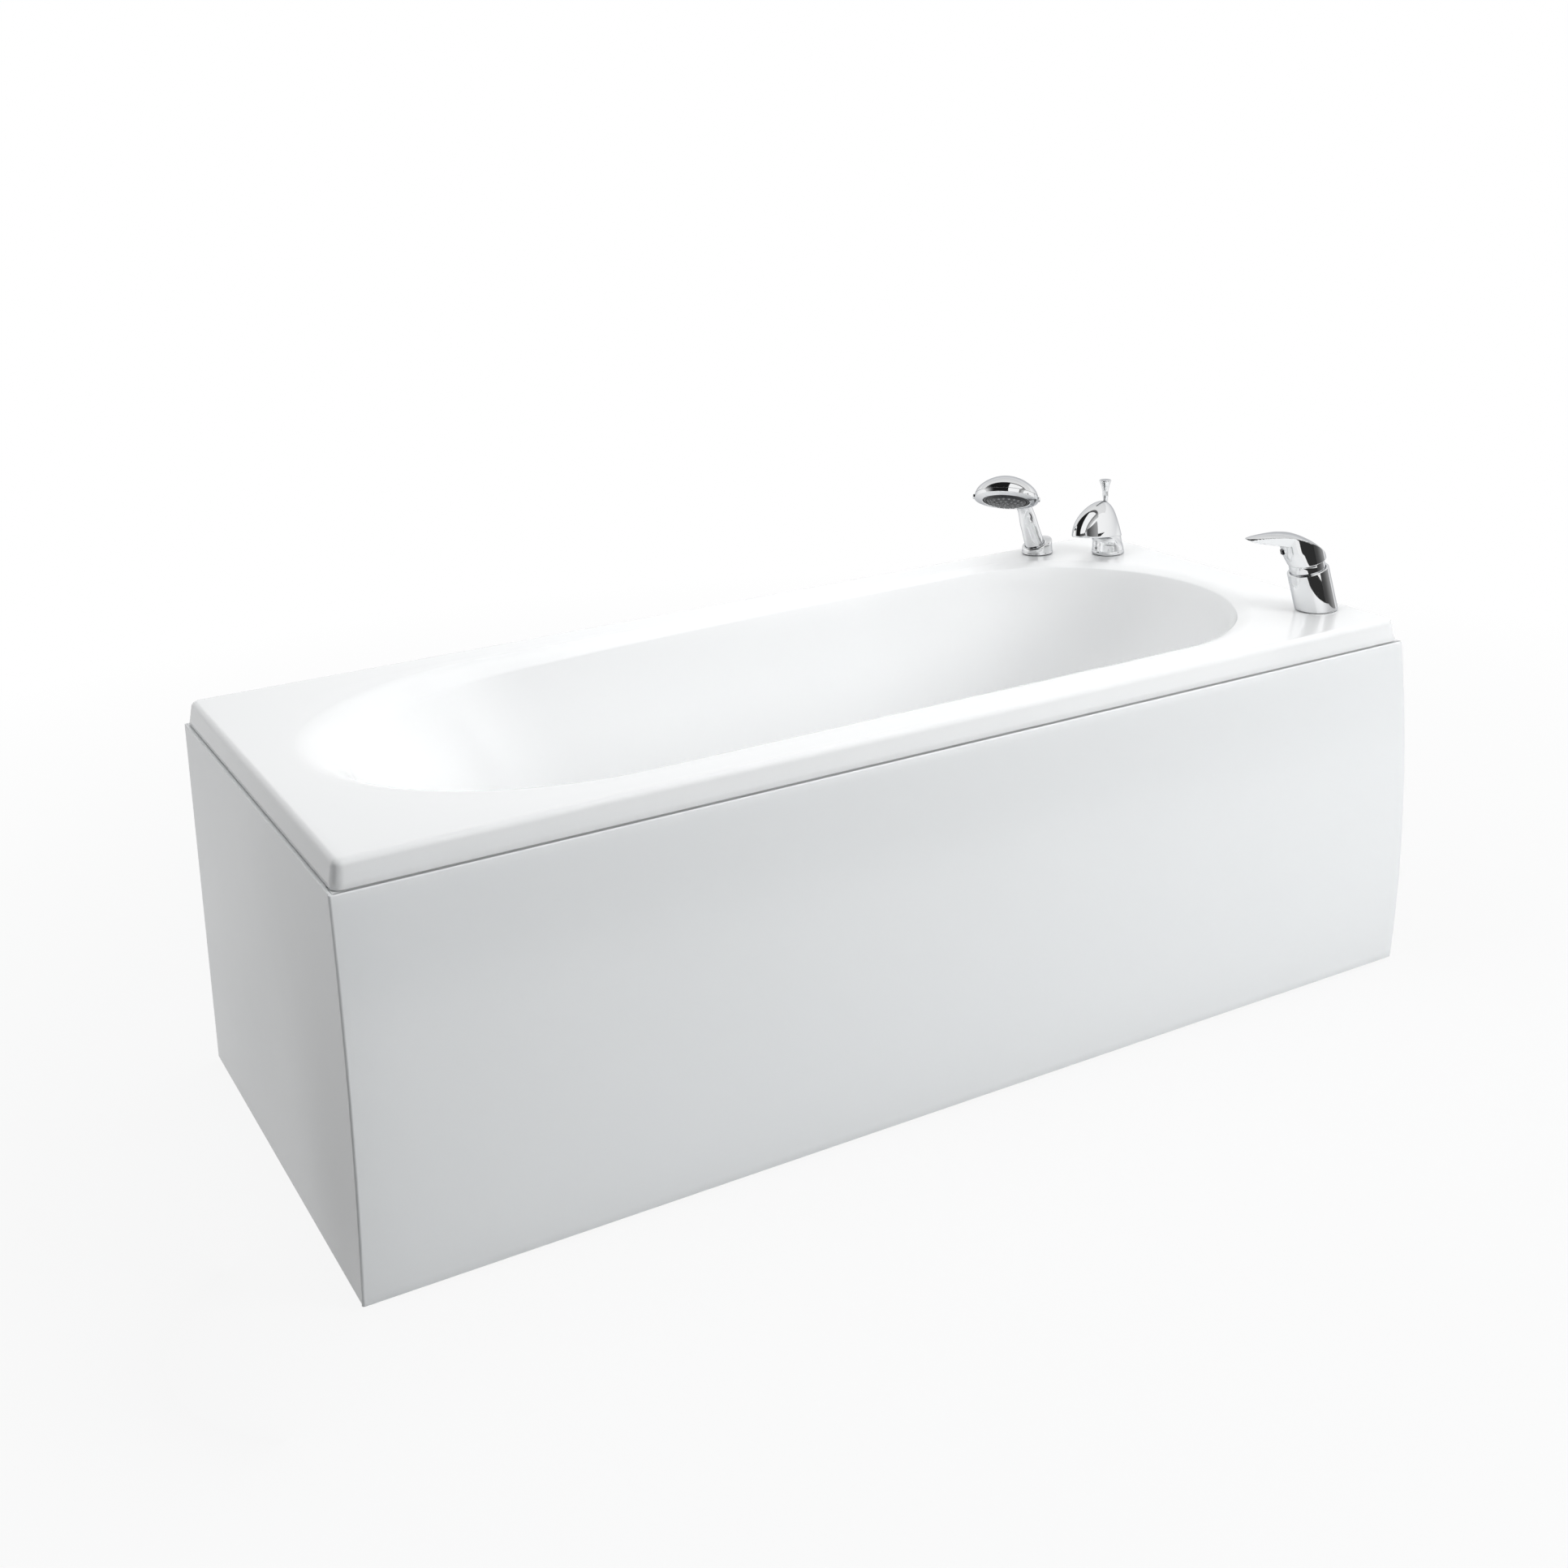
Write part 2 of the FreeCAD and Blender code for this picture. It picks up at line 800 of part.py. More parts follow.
def leg_bar(x):
    half = bar_width / 2
    bar = box(x - half, x + half, -bar_half, bar_half, bar_low, board_low)
    hollow = box(x - half + bar_sheet, x + half - bar_sheet, -bar_half, bar_half, bar_low, web_low)
    bar = bar.cut(hollow)
    for y in (-foot_y, foot_y):
        bar = bar.cut(rod(stud_radius + stud_play, web_low, board_low, x, y))
    return with_screw_holes(bar, [(x, y) for y in bar_screw_ys], board_low)


def foot_spots():
    return [(x, y) for x in (bar_head_x, bar_tap_x) for y in (-foot_y, foot_y)]


def levelling_foot(x, y):
    # Round pad and threaded stud moulded in one.
    foot = turned([(0, 0), (pad_radius, 0), (pad_radius, pad_height / 2), (pad_neck, pad_height),
                   (stud_radius, pad_height), (stud_radius, stud_top), (0, stud_top)])
    return placed(foot, at(x, y, 0))


def foot_nuts():
    # One nut welded on top of the web and one lock nut under it at each foot.
    nuts = []
    for x, y in foot_spots():
        for low in (board_low, web_low - nut_height):
            nut = hex_bar(nut_flats, low, low + nut_height, x, y)
            nuts.append(nut.cut(rod(stud_radius + stud_play, low, low + nut_height, x, y)))
    return Part.Compound(nuts)


def panel_stays():
    # Strips from the front ends of the leg bars down to the bottom flange of the front panel.
    stays = []
    low = panel_floor_gap + sheet
    for x in (bar_head_x, bar_tap_x):
        half = stay_width / 2
        upright = box(x - half, x + half, -bar_half - stay_sheet, -bar_half, low, board_low)
        toe = box(x - half, x + half, bow_y(low, sheet) + stay_sheet, -bar_half, low, low + stay_sheet)
        stays.append(joined([upright, toe]))
    return Part.Compound(stays)


def waste_flange():
    # Ring on the basin floor, with a threaded tube down into the waste body and a ribbed stem guide.
    top = floor_z + flange_thick
    tube_low = under_floor - waste_seal_thick - waste_height / 2
    ring = tube(flange_radius, waste_bore, floor_z, top)
    barrel = tube(waste_tube, waste_bore, tube_low, top)
    hub = tube(guide_hub, plug_stem + run_play, tube_low, tube_low + guide_thick)
    reach = waste_bore + guide_lap
    rib = box(-reach, reach, -guide_rib / 2, guide_rib / 2, tube_low, tube_low + guide_thick)
    core = rod(guide_hub - guide_lap, tube_low, tube_low + guide_thick)
    cross = rib.fuse(placed(rib, at(0, 0, 0, 90.0))).cut(core)
    return placed(joined([ring, barrel, hub, cross]), at(drain_x, 0, 0))


def waste_seal():
    return tube(flange_radius, drain_hole, under_floor - waste_seal_thick, under_floor, drain_x)


def inlet_z():
    return under_floor - waste_seal_thick - waste_height / 2


def waste_body():
    top = under_floor - waste_seal_thick
    low = top - waste_height
    mid_z = inlet_z()
    outer = rod(waste_radius, low, top)
    lip = rod(flange_radius, top - sheet, top)
    tail = rod(tail_radius, low - tail_length, low + sheet)
    inlet = Part.makeCylinder(over_pipe_radius - run_play + stub_wall, waste_radius + stub_length,
                              Vector(0, 0, mid_z), Vector(0, -1, 0))
    gland_x = cable_offset
    gland = Part.makeCylinder(2 * cable_radius, waste_radius + stub_length, Vector(gland_x, 0, mid_z),
                              Vector(0, -1, 0))
    solid = joined([outer, lip, tail, inlet, gland])
    solid = solid.cut(rod(waste_tube + run_play, mid_z, top))
    solid = solid.cut(rod(waste_bore, low + sheet, mid_z))
    solid = solid.cut(rod(tail_radius - tail_wall, low - tail_length, mid_z))
    solid = solid.cut(Part.makeCylinder(over_pipe_radius - over_pipe_wall, waste_radius + stub_length,
                                        Vector(0, 0, mid_z), Vector(0, -1, 0)).cut(
        rod(waste_bore, low, top)))
    seat = Part.makeCylinder(over_pipe_radius + run_play, stub_length, Vector(0, -waste_radius, mid_z),
                             Vector(0, -1, 0))
    solid = solid.cut(seat)
    cable_seat = Part.makeCylinder(cable_radius + run_play, stub_length,
                                   Vector(gland_x, -waste_radius, mid_z), Vector(0, -1, 0))
    return placed(solid.cut(cable_seat), at(drain_x, 0, 0))


def trap_top():
    return under_floor - waste_seal_thick - waste_height - trap_nut_height - sheet


def trap_nut():
    top = trap_top() + trap_nut_height
    return hex_bar(2 * trap_nut_radius, trap_top(), top).cut(
        rod(tail_radius + run_play, trap_top(), top)).translated(Vector(drain_x, 0, 0))


def trap_cup():
    top = trap_top()
    low = top - trap_height
    cup = rod(trap_radius, low, top)
    way = Vector(0, 1, 0)
    out_z = top - trap_wall - outlet_radius - outlet_down
    spout = Part.makeCylinder(outlet_radius, outlet_end_y, Vector(0, 0, out_z), way)
    boss = Part.makeCylinder(outlet_boss, trap_radius + outlet_boss_reach, Vector(0, 0, out_z), way)
    cup = cup.fuse(boss).fuse(spout)
    cup = cup.cut(rod(trap_radius - trap_wall, low + trap_wall, top - trap_wall))
    cup = cup.cut(rod(tail_radius + run_play, low + trap_wall, top))
    bore = Part.makeCylinder(outlet_radius - outlet_wall, outlet_end_y, Vector(0, 0, out_z), way)
    return placed(cup.cut(bore), at(drain_x, 0, 0))


def pop_up_plug():
    low = floor_z + flange_thick + plug_seat
    stem_low = inlet_z() - guide_thick
    return turned([(0, stem_low), (plug_stem, stem_low), (plug_stem, low), (plug_radius, low),
                   (plug_radius, low + plug_rim), (plug_crown_radius, low + plug_thick),
                   (0, low + plug_thick + plug_crown)]).translated(Vector(drain_x, 0, 0))


def wall_y(z):
    # Inner face of the front wall at the overflow.
    share = (rim_height - tap_drop - z) / (rim_height - tap_drop - floor_z)
    return -(crease_half - side_run * share)


def overflow_tilt():
    return math.degrees(math.atan2(side_run, rim_height - tap_drop - floor_z))


# Local Z at the overflow points into the basin, square to the sloping front wall.
overflow_place = Placement(
    Vector(drain_x, wall_y(overflow_z) - overflow_spot, overflow_z),
    Rotation(Vector(1, 0, 0), -90.0 + overflow_tilt()))
fitting_spots = ((mixer_x, mixer_y), (spout_x, spout_y), (holder_x, holder_y))
wall_hole_x = -rim_length / 2 + panel_flange / 2


def overflow_flange():
    bore = overflow_hole - 2 * overflow_ring
    ring = tube(overflow_face, bore, 0.0, overflow_ring)
    barrel = tube(overflow_hole - overflow_ring, bore, -overflow_barrel, overflow_ring)
    return placed(joined([ring, barrel]), overflow_place)


def overflow_knob():
    low = overflow_gap + overflow_ring
    top = low + knob_thick
    face = turned([(0, low), (overflow_face - knob_back_edge, low), (overflow_face, low + knob_back_edge),
                   (overflow_face, top - knob_front_edge), (overflow_face - knob_front_edge, top), (0, top)])
    grip = box(-knob_grip_half, knob_grip_half, -knob_grip / 2, knob_grip / 2,
               top - knob_lap, top + knob_grip)
    shaft = rod(knob_shaft, -cup_depth - overflow_wall - overflow_ring, low + knob_lap)
    return placed(joined([face, grip, shaft]), overflow_place)


def overflow_seal():
    seal = tube(cup_radius, overflow_hole, -overflow_wall - overflow_ring, -overflow_wall)
    return placed(seal, overflow_place)


def pipe_y():
    middle = overflow_place.multVec(Vector(0, 0, -overflow_wall - overflow_ring - cup_depth / 2))
    return middle.y


def overflow_body():
    top = -overflow_wall - overflow_ring
    low = top - cup_depth
    cup = rod(cup_radius, low, top)
    cup = placed(cup, overflow_place)
    way = Vector(0, 0, -1)
    start = Vector(drain_x, pipe_y(), overflow_z)
    stub = Part.makeCylinder(over_pipe_radius + run_play + stub_wall, cup_radius + stub_length, start, way)
    cable_boss = Part.makeCylinder(2 * cable_radius, cup_radius + stub_length / 2,
                                   start + Vector(cable_offset, 0, 0), way)
    solid = joined([cup, stub, cable_boss])
    inner = rod(cup_radius - cup_wall, low + cup_wall, top)
    solid = solid.cut(placed(inner, overflow_place))
    solid = solid.cut(placed(rod(knob_shaft + run_play, low, top), overflow_place))
    end = cup_radius + stub_length
    solid = solid.cut(Part.makeCylinder(over_pipe_radius - over_pipe_wall, end, start, way))
    seat = Part.makeCylinder(over_pipe_radius + run_play, stub_length, start + way * (end - stub_length), way)
    cable_seat = Part.makeCylinder(cable_radius + run_play, stub_length,
                                   start + Vector(cable_offset, 0, 0) + way * (end - 1.5 * stub_length), way)
    return solid.cut(seat).cut(cable_seat)


def overflow_pipe():
    start = Vector(drain_x, pipe_y(), overflow_z - cup_radius)
    turn = Vector(drain_x, pipe_y(), inlet_z())
    end = Vector(drain_x, -waste_radius, inlet_z())
    return pipe([start, turn, end], over_pipe_bend, over_pipe_radius, over_pipe_radius - over_pipe_wall)


def plug_cable():
    x = drain_x + cable_offset
    start = Vector(x, pipe_y(), overflow_z - cup_radius + stub_length / 2)
    turn = Vector(x, pipe_y(), inlet_z())
    end = Vector(x, -waste_radius, inlet_z())
    return pipe([start, turn, end], cable_bend, cable_radius)


def deck_gaskets():
    return Part.Compound([tube(gasket_radius, shank_radius + hole_play, rim_height, fitting_low, x, y)
                          for x, y in fitting_spots])


def deck_washers():
    low = deck_under - washer_thick
    return Part.Compound([tube(washer_radius, shank_radius + run_play, low, deck_under, x, y)
                          for x, y in fitting_spots])


def deck_nuts():
    top = deck_under - washer_thick
    nuts = []
    for x, y in fitting_spots:
        nut = hex_bar(deck_nut_flats, top - deck_nut_height, top, x, y)
        nuts.append(nut.cut(rod(shank_radius + run_play, top - deck_nut_height, top, x, y)))
    return Part.Compound(nuts)


def shank(x, y, holes):
    # Threaded sleeve from inside the fitting down through the deck. The tubes pass its closed end in holes.
    body = rod(shank_radius, shank_low, fitting_low + shank_inset, x, y)
    body = body.cut(rod(shank_bore, shank_low + shank_end, fitting_low + shank_inset, x, y))
    for hole_x, hole_y in holes:
        body = body.cut(rod(tube_radius + run_play, shank_low, shank_low + shank_end, hole_x, hole_y))
    return body


def tube_spot(turn):
    angle = math.radians(turn)
    return mixer_x + tube_circle * math.cos(angle), mixer_y + tube_circle * math.sin(angle)


def supply_tail(turn, way):
    x, y = tube_spot(turn)
    top = fitting_low + shank_inset
    out = mixer_x + way * tail_spread
    points = [Vector(x, y, top), Vector(x, y, tail_turn_z), Vector(out, y, tail_turn_z - 2 * tube_bend),
              Vector(out, y, tail_end_z)]
    return pipe(points, tube_bend, tube_radius, tube_radius - tube_wall)


def mixed_pipe():
    x, y = tube_spot(mixed_turn)
    top = fitting_low + shank_inset
    points = [Vector(x, y, top), Vector(x, y, mixed_z), Vector(spout_x, spout_y, mixed_z),
              Vector(spout_x, spout_y, shank_low + 2 * shank_end)]
    return pipe(points, tube_bend, tube_radius, tube_radius - tube_wall)


mixer_place = at(mixer_x, mixer_y, rim_height, mixer_facing, mixer_lean)
spout_place = at(spout_x, spout_y, rim_height, spout_facing)
holder_place = at(holder_x, holder_y, rim_height, holder_facing, holder_lean)
handset_place = at(holder_x, holder_y, rim_height, holder_facing, holder_lean, handset_turn)


def above_deck(shape, reach):
    # What is left of a leaning fitting above its gasket.
    span = 4 * reach
    keep = box(-span, span, -span, span, fitting_low, fitting_low + span)
    return shape.common(placed(keep, at(shape.BoundBox.Center.x, shape.BoundBox.Center.y, 0)))


def mixer_body():
    solid = rod(body_radius, -body_radius, body_height)
    solid = solid.cut(rod(cartridge_radius + run_play, cartridge_low, cartridge_top))
    solid = solid.cut(rod(collar_radius + collar_seat, cartridge_top, body_height))
    top_edges = [e for e in solid.Edges
                 if e.BoundBox.ZMin > body_height - near and e.BoundBox.XMax > body_radius - near]
    solid = solid.makeFillet(body_edge, top_edges)
    solid = above_deck(placed(solid, mixer_place), body_radius)
    return solid.cut(rod(shank_radius + run_play, rim_height, fitting_low + shank_inset, mixer_x, mixer_y))


def mixer_cartridge():
    return placed(rod(cartridge_radius, cartridge_low, cartridge_top), mixer_place)


def cartridge_nut():
    return placed(tube(collar_radius, turret_radius + run_play, cartridge_top,
                       cartridge_top + cartridge_nut_thick), mixer_place)


def mixer_collar():
    low = cartridge_top + cartridge_nut_thick
    centre = Vector(0, 0, pivot_height)
    inner = collar_radius - collar_wall
    outside = rod(collar_radius, low, pivot_height).fuse(Part.makeSphere(collar_radius, centre))
    inside = rod(inner, low, pivot_height).fuse(Part.makeSphere(inner, centre))
    below = box(-body_radius, body_radius, -body_radius, body_radius, low - 2 * collar_radius, low)
    opening = rod(collar_opening, pivot_height, pivot_height + 2 * collar_radius)
    return placed(outside.cut(inside).cut(below).cut(opening), mixer_place)


def mixer_turret():
    solid = rod(turret_radius, cartridge_top, turret_top)
    slot = box(-2 * turret_radius, 2 * turret_radius, -slot_half, slot_half, stem_low - stem_room, turret_top)
    solid = solid.cut(slot).cut(cross_rod(pin_radius, turret_radius))
    return placed(solid, mixer_place)


def cross_rod(radius, half):
    return Part.makeCylinder(radius, 2 * half, Vector(0, -half, pivot_height), Vector(0, 1, 0))


def tilt_pin():
    return placed(cross_rod(pin_radius, pin_half), mixer_place)


def lever_stem():
    stem = box(-stem_half_x, stem_half_x, -stem_half_y, stem_half_y, stem_low, stem_top)
    return placed(stem.cut(cross_rod(pin_radius + run_play, turret_radius)), mixer_place)


def lever_side():
    # Side view of the lever as a slab: hub at the body, arm rising to the tip.
    def spot(x, z):
        return Vector(x, -hub_radius - cut_over, z)

    rear = spot(-hub_radius, hub_low + hub_back)
    tip = spot(lever_tip_x, lever_tip_z)
    crown = Part.BSplineCurve()
    crown.interpolate([tip] + [spot(x, z) for x, z in lever_crown] + [rear])
    corners = [rear, spot(-hub_radius, hub_low), spot(hub_radius - hub_front_in, hub_low),
               spot(lever_front, plug_height), spot(lever_front, lever_step),
               spot(lever_tip_low_x, lever_tip_low_z), tip]
    edges = [Part.makeLine(a, b) for a, b in zip(corners, corners[1:])]
    edges.append(crown.toShape())
    return Part.Face(Part.Wire(edges)).extrude(Vector(0, 2 * (hub_radius + cut_over), 0))


def lever_plan():
    # Plan view: the round hub drawn out to a narrower round tip.
    centre = lever_tip_x - lever_tip_radius
    lean = math.acos((hub_radius - lever_tip_radius) / centre)

    def spot(x, radius, turn):
        return Vector(x + radius * math.cos(turn), radius * math.sin(turn), hub_low - cut_over)

    hub = Part.Arc(spot(0, hub_radius, lean), spot(0, hub_radius, math.pi), spot(0, hub_radius, -lean))
    tip = Part.Arc(spot(centre, lever_tip_radius, -lean), spot(centre, lever_tip_radius, 0),
                   spot(centre, lever_tip_radius, lean))
    edges = [
        hub.toShape(),
        Part.makeLine(spot(0, hub_radius, -lean), spot(centre, lever_tip_radius, -lean)),
        tip.toShape(),
        Part.makeLine(spot(centre, lever_tip_radius, lean), spot(0, hub_radius, lean)),
    ]
    return Part.Face(Part.Wire(edges)).extrude(Vector(0, 0, lever_tip_z))


def mixer_lever():
    solid = lever_side().common(lever_plan())
    solid = solid.cut(Part.makeSphere(hub_cavity, Vector(0, 0, pivot_height)))
    stem = box(-stem_half_x, stem_half_x, -stem_half_y, stem_half_y, stem_low, stem_top)
    solid = solid.cut(stem)
    solid = solid.cut(front_rod(grub_radius, stem_half_x, lever_front + cut_over))
    solid = solid.cut(index_square(lever_front - index_deep, lever_front + cut_over))
    return placed(solid, mixer_place)


def front_rod(radius, x0, x1):
    return Part.makeCylinder(radius, x1 - x0, Vector(x0, 0, plug_height + index_half), Vector(1, 0, 0))


def index_square(x0, x1):
    return box(x0, x1, -index_half, index_half, plug_height, plug_height + 2 * index_half)


def lever_screw():
    return placed(front_rod(grub_radius, stem_half_x, stem_half_x + grub_length), mixer_place)


def index_plug():
    return placed(index_square(lever_front - index_deep, lever_front + index_proud), mixer_place)


def oval(centre, half_x, half_y, z):
    if half_x >= half_y:
        curve = Part.Ellipse(Vector(centre, 0, z), half_x, half_y)
    else:
        curve = Part.Ellipse(Vector(centre, half_y, z), Vector(centre + half_x, 0, z), Vector(centre, 0, z))
    return Part.Wire([curve.toShape()])


def hood_oval(level):
    # Section of the hood; level runs from 0 at its flat underside to 1 at the crown.
    size = (1 - level ** hood_power) ** (1 / hood_power)
    front = hood_apex + (spout_reach - hood_apex) * size
    back = hood_apex - (spout_back + hood_apex) * size
    z = hood_low + (hood_top - hood_low) * level
    return oval((front + back) / 2, (front - back) / 2, spout_half * size, z)


def hood_skirt():
    # Lower edge of the hood, falling from the tip back to the column.
    back = -spout_back - cut_over
    front = spout_reach + cut_over
    deep = lip_slope * (front - back)
    skirt = Part.Face(hood_oval(0.0)).extrude(Vector(0, 0, -deep))
    side = spout_half + cut_over
    below = Part.Face(Part.makePolygon([
        Vector(front, -side, hood_low + lip_slope * cut_over), Vector(back, -side, hood_low - deep),
        Vector(back, -side, hood_low - deep - side), Vector(front, -side, hood_low - deep - side),
        Vector(front, -side, hood_low + lip_slope * cut_over)]))
    return skirt.cut(below.extrude(Vector(0, 2 * side, 0)))


def spout_body():
    hood = Part.makeLoft([hood_oval(level) for level in hood_levels], True, False)
    column = Part.makeLoft([oval(0, spout_base, spout_base, gasket_thick),
                            oval(0, spout_waist, spout_waist, hood_low / 2),
                            oval(0, spout_neck, spout_neck, hood_low + spout_lap)], True, False)
    solid = joined([hood, hood_skirt(), column])
    roof = valve_roof
    solid = solid.cut(rod(diverter_bore, gasket_thick + shank_inset, roof, diverter_x))
    solid = solid.cut(rod(diverter_stem + run_play, roof, hood_top + cut_over, diverter_x))
    solid = solid.cut(rod(shank_radius + run_play, 0.0, gasket_thick + shank_inset))
    drop = lip_slope * (spout_reach + spout_back)
    pocket = Part.Face(oval(outlet_x, outlet_half_x, outlet_half_y, hood_low - drop))
    pocket = pocket.extrude(Vector(0, 0, drop + outlet_deep))
    duct = Part.makeCylinder(duct_radius, outlet_x - diverter_x,
                             Vector(diverter_x, 0, hood_low + outlet_deep - duct_radius), Vector(1, 0, 0))
    return placed(solid.cut(pocket).cut(duct), spout_place)


def flow_insert():
    low = hood_low + insert_inset
    plate = Part.Face(oval(outlet_x, outlet_half_x - insert_play, outlet_half_y - insert_play, low))
    plate = plate.extrude(Vector(0, 0, insert_thick))
    slot = Part.Face(oval(outlet_x, insert_slot_x, insert_slot_y, low)).extrude(
        Vector(0, 0, insert_thick))
    bar = box(outlet_x - insert_bar / 2, outlet_x + insert_bar / 2, -insert_bar_half, insert_bar_half,
              low, low + insert_thick)
    return placed(joined([plate.cut(slot), bar]), spout_place)


def diverter():
    low = hood_top + knob_low
    top = low + knob_rise
    return placed(turned([
        (0, valve_low), (valve_radius, valve_low), (valve_radius, valve_low + valve_thick),
        (diverter_stem, valve_low + valve_thick), (diverter_stem, low), (knob_neck, low),
        (knob_waist, low + knob_waist_rise), (knob_flare, low + knob_flare_rise), (knob_top, top - knob_side),
        (knob_top - knob_edge_in, top - knob_edge), (knob_crown, top), (0, top)
    ]).translated(Vector(diverter_x, 0, 0)), spout_place)


def shower_holder():
    # Round base cut square to the leaning handle, with a cone seat for its foot.
    upright = rod(holder_radius, fitting_low, rim_height + 3 * holder_height, holder_x, holder_y)
    span = 4 * holder_radius
    over = placed(box(-span, span, -span, span, holder_height, span), holder_place)
    seat = turned([(0, handle_low - seat_play), (handle_foot + seat_play, handle_low - seat_play),
                   (handle_wide + seat_play, holder_height), (handle_wide + seat_play, span), (0, span)])
    hose_way = rod(nipple_radius + nipple_room, -span, span)
    solid = upright.cut(over).cut(placed(seat, holder_place)).cut(placed(hose_way, holder_place))
    return solid.cut(rod(shank_radius + run_play, rim_height, fitting_low + holder_step, holder_x, holder_y))


def holder_shank():
    return tube(shank_radius, shank_bore, shank_low, fitting_low + holder_step, holder_x, holder_y)


head_place = handset_place.multiply(
    Placement(Vector(head_offset, 0, head_along), Rotation(Vector(0, 1, 0), -head_tilt)))


def handle_solid():
    # Cone foot, tapering straight grip and a bend into the back of the head.
    foot = turned([(0, handle_low), (handle_foot, handle_low), (handle_wide, holder_height),
                   (0, holder_height)])
    tilt = math.radians(head_tilt)
    end = Vector(head_offset - handle_end_in * math.cos(tilt) - handle_end_up * math.sin(tilt), 0,
                 head_along - handle_end_in * math.sin(tilt) + handle_end_up * math.cos(tilt))
    rise = end - Vector(0, 0, handle_straight)
    spots = [
        (Vector(0, 0, holder_height), Vector(0, 0, 1), handle_wide),
        (Vector(0, 0, (holder_height + handle_straight) / 2), Vector(0, 0, 1),
         (handle_wide + handle_slim) / 2 + handle_belly),
        (Vector(0, 0, handle_straight), Vector(handle_bend, 0, 1), handle_slim),
        (end, Vector(rise.x, 0, rise.z), handle_slim),
    ]
    wires = [Part.Wire([Part.Circle(spot, way, size).toShape()]) for spot, way, size in spots]
    return joined([foot, Part.makeLoft(wires, True, False)])


def dome_solid(inset):
    # Dome over the head, moved in by inset: a small arc at the side runs tangent into a large one on top.
    # Local Z points out of its back.
    side = dome_side - inset
    centre = head_radius - dome_side
    crown = head_radius ** 2 - 2 * head_radius * dome_side + dome_height ** 2
    crown = crown / (2 * (dome_height - dome_side))
    drop = crown - dome_height
    low_turn = math.asin(dome_low / side)
    meet_turn = math.atan2(drop, centre)

    def small(turn):
        return Vector(centre + side * math.cos(turn), 0, side * math.sin(turn))

    def large(turn):
        return Vector((crown - inset) * math.cos(turn), 0, (crown - inset) * math.sin(turn) - drop)

    top_turn = math.pi / 2
    first, last = small(low_turn), large(top_turn)
    foot = Vector(0, 0, dome_low)
    edges = [
        Part.Arc(first, small((low_turn + meet_turn) / 2), small(meet_turn)).toShape(),
        Part.Arc(small(meet_turn), large((meet_turn + top_turn) / 2), last).toShape(),
        Part.makeLine(last, foot),
        Part.makeLine(foot, first),
    ]
    face = Part.Face(Part.Wire(edges))
    return face.revolve(Vector(0, 0, 0), Vector(0, 0, 1), 360)


def shower_handset():
    outer = joined([handle_solid(), placed(dome_solid(0.0), handset_place.inverse().multiply(head_place))])
    inner = placed(dome_solid(dome_wall), handset_place.inverse().multiply(head_place))
    bore = rod(handle_bore, handle_low, handle_straight)
    spindle = rod(spindle_radius, face_top - spindle_deep, dome_height - dome_wall / 2)
    spindle = placed(spindle, handset_place.inverse().multiply(head_place))
    room = rod(head_radius + ring_room, ring_low - head_radius, dome_low)
    room = placed(room, handset_place.inverse().multiply(head_place))
    solid = outer.cut(inner).cut(bore).cut(room)
    return placed(joined([solid, spindle]), handset_place)


def hose_nipple():
    piece = tube(nipple_radius, nipple_bore, handle_low - nipple_length, handle_low)
    return placed(piece, handset_place)


def selector_ring():
    top = dome_low - ring_play
    ring = turned([(face_radius, ring_low), (head_radius - ring_chamfer, ring_low),
                   (head_radius, ring_low + ring_bevel), (head_radius, top), (face_radius, top)])
    lugs = []
    for turn in lug_turns:
        lug = box(-lug_width / 2, lug_width / 2, head_radius - lug_root, head_radius + lug_proud,
                  top - lug_height, top)
        lugs.append(placed(lug, at(0, 0, 0, turn)))
    return placed(joined([ring] + lugs), head_place)


def spray_face():
    low = ring_low - face_step
    solid = turned([(0, low - face_bulge), (face_mid_radius, low - face_mid_bulge),
                    (face_edge_radius, low - face_edge_bulge), (face_radius, low), (face_radius, face_top),
                    (0, face_top)])
    solid = solid.cut(rod(spindle_radius + run_play, face_top - spindle_deep, face_top))
    return placed(solid, head_place)


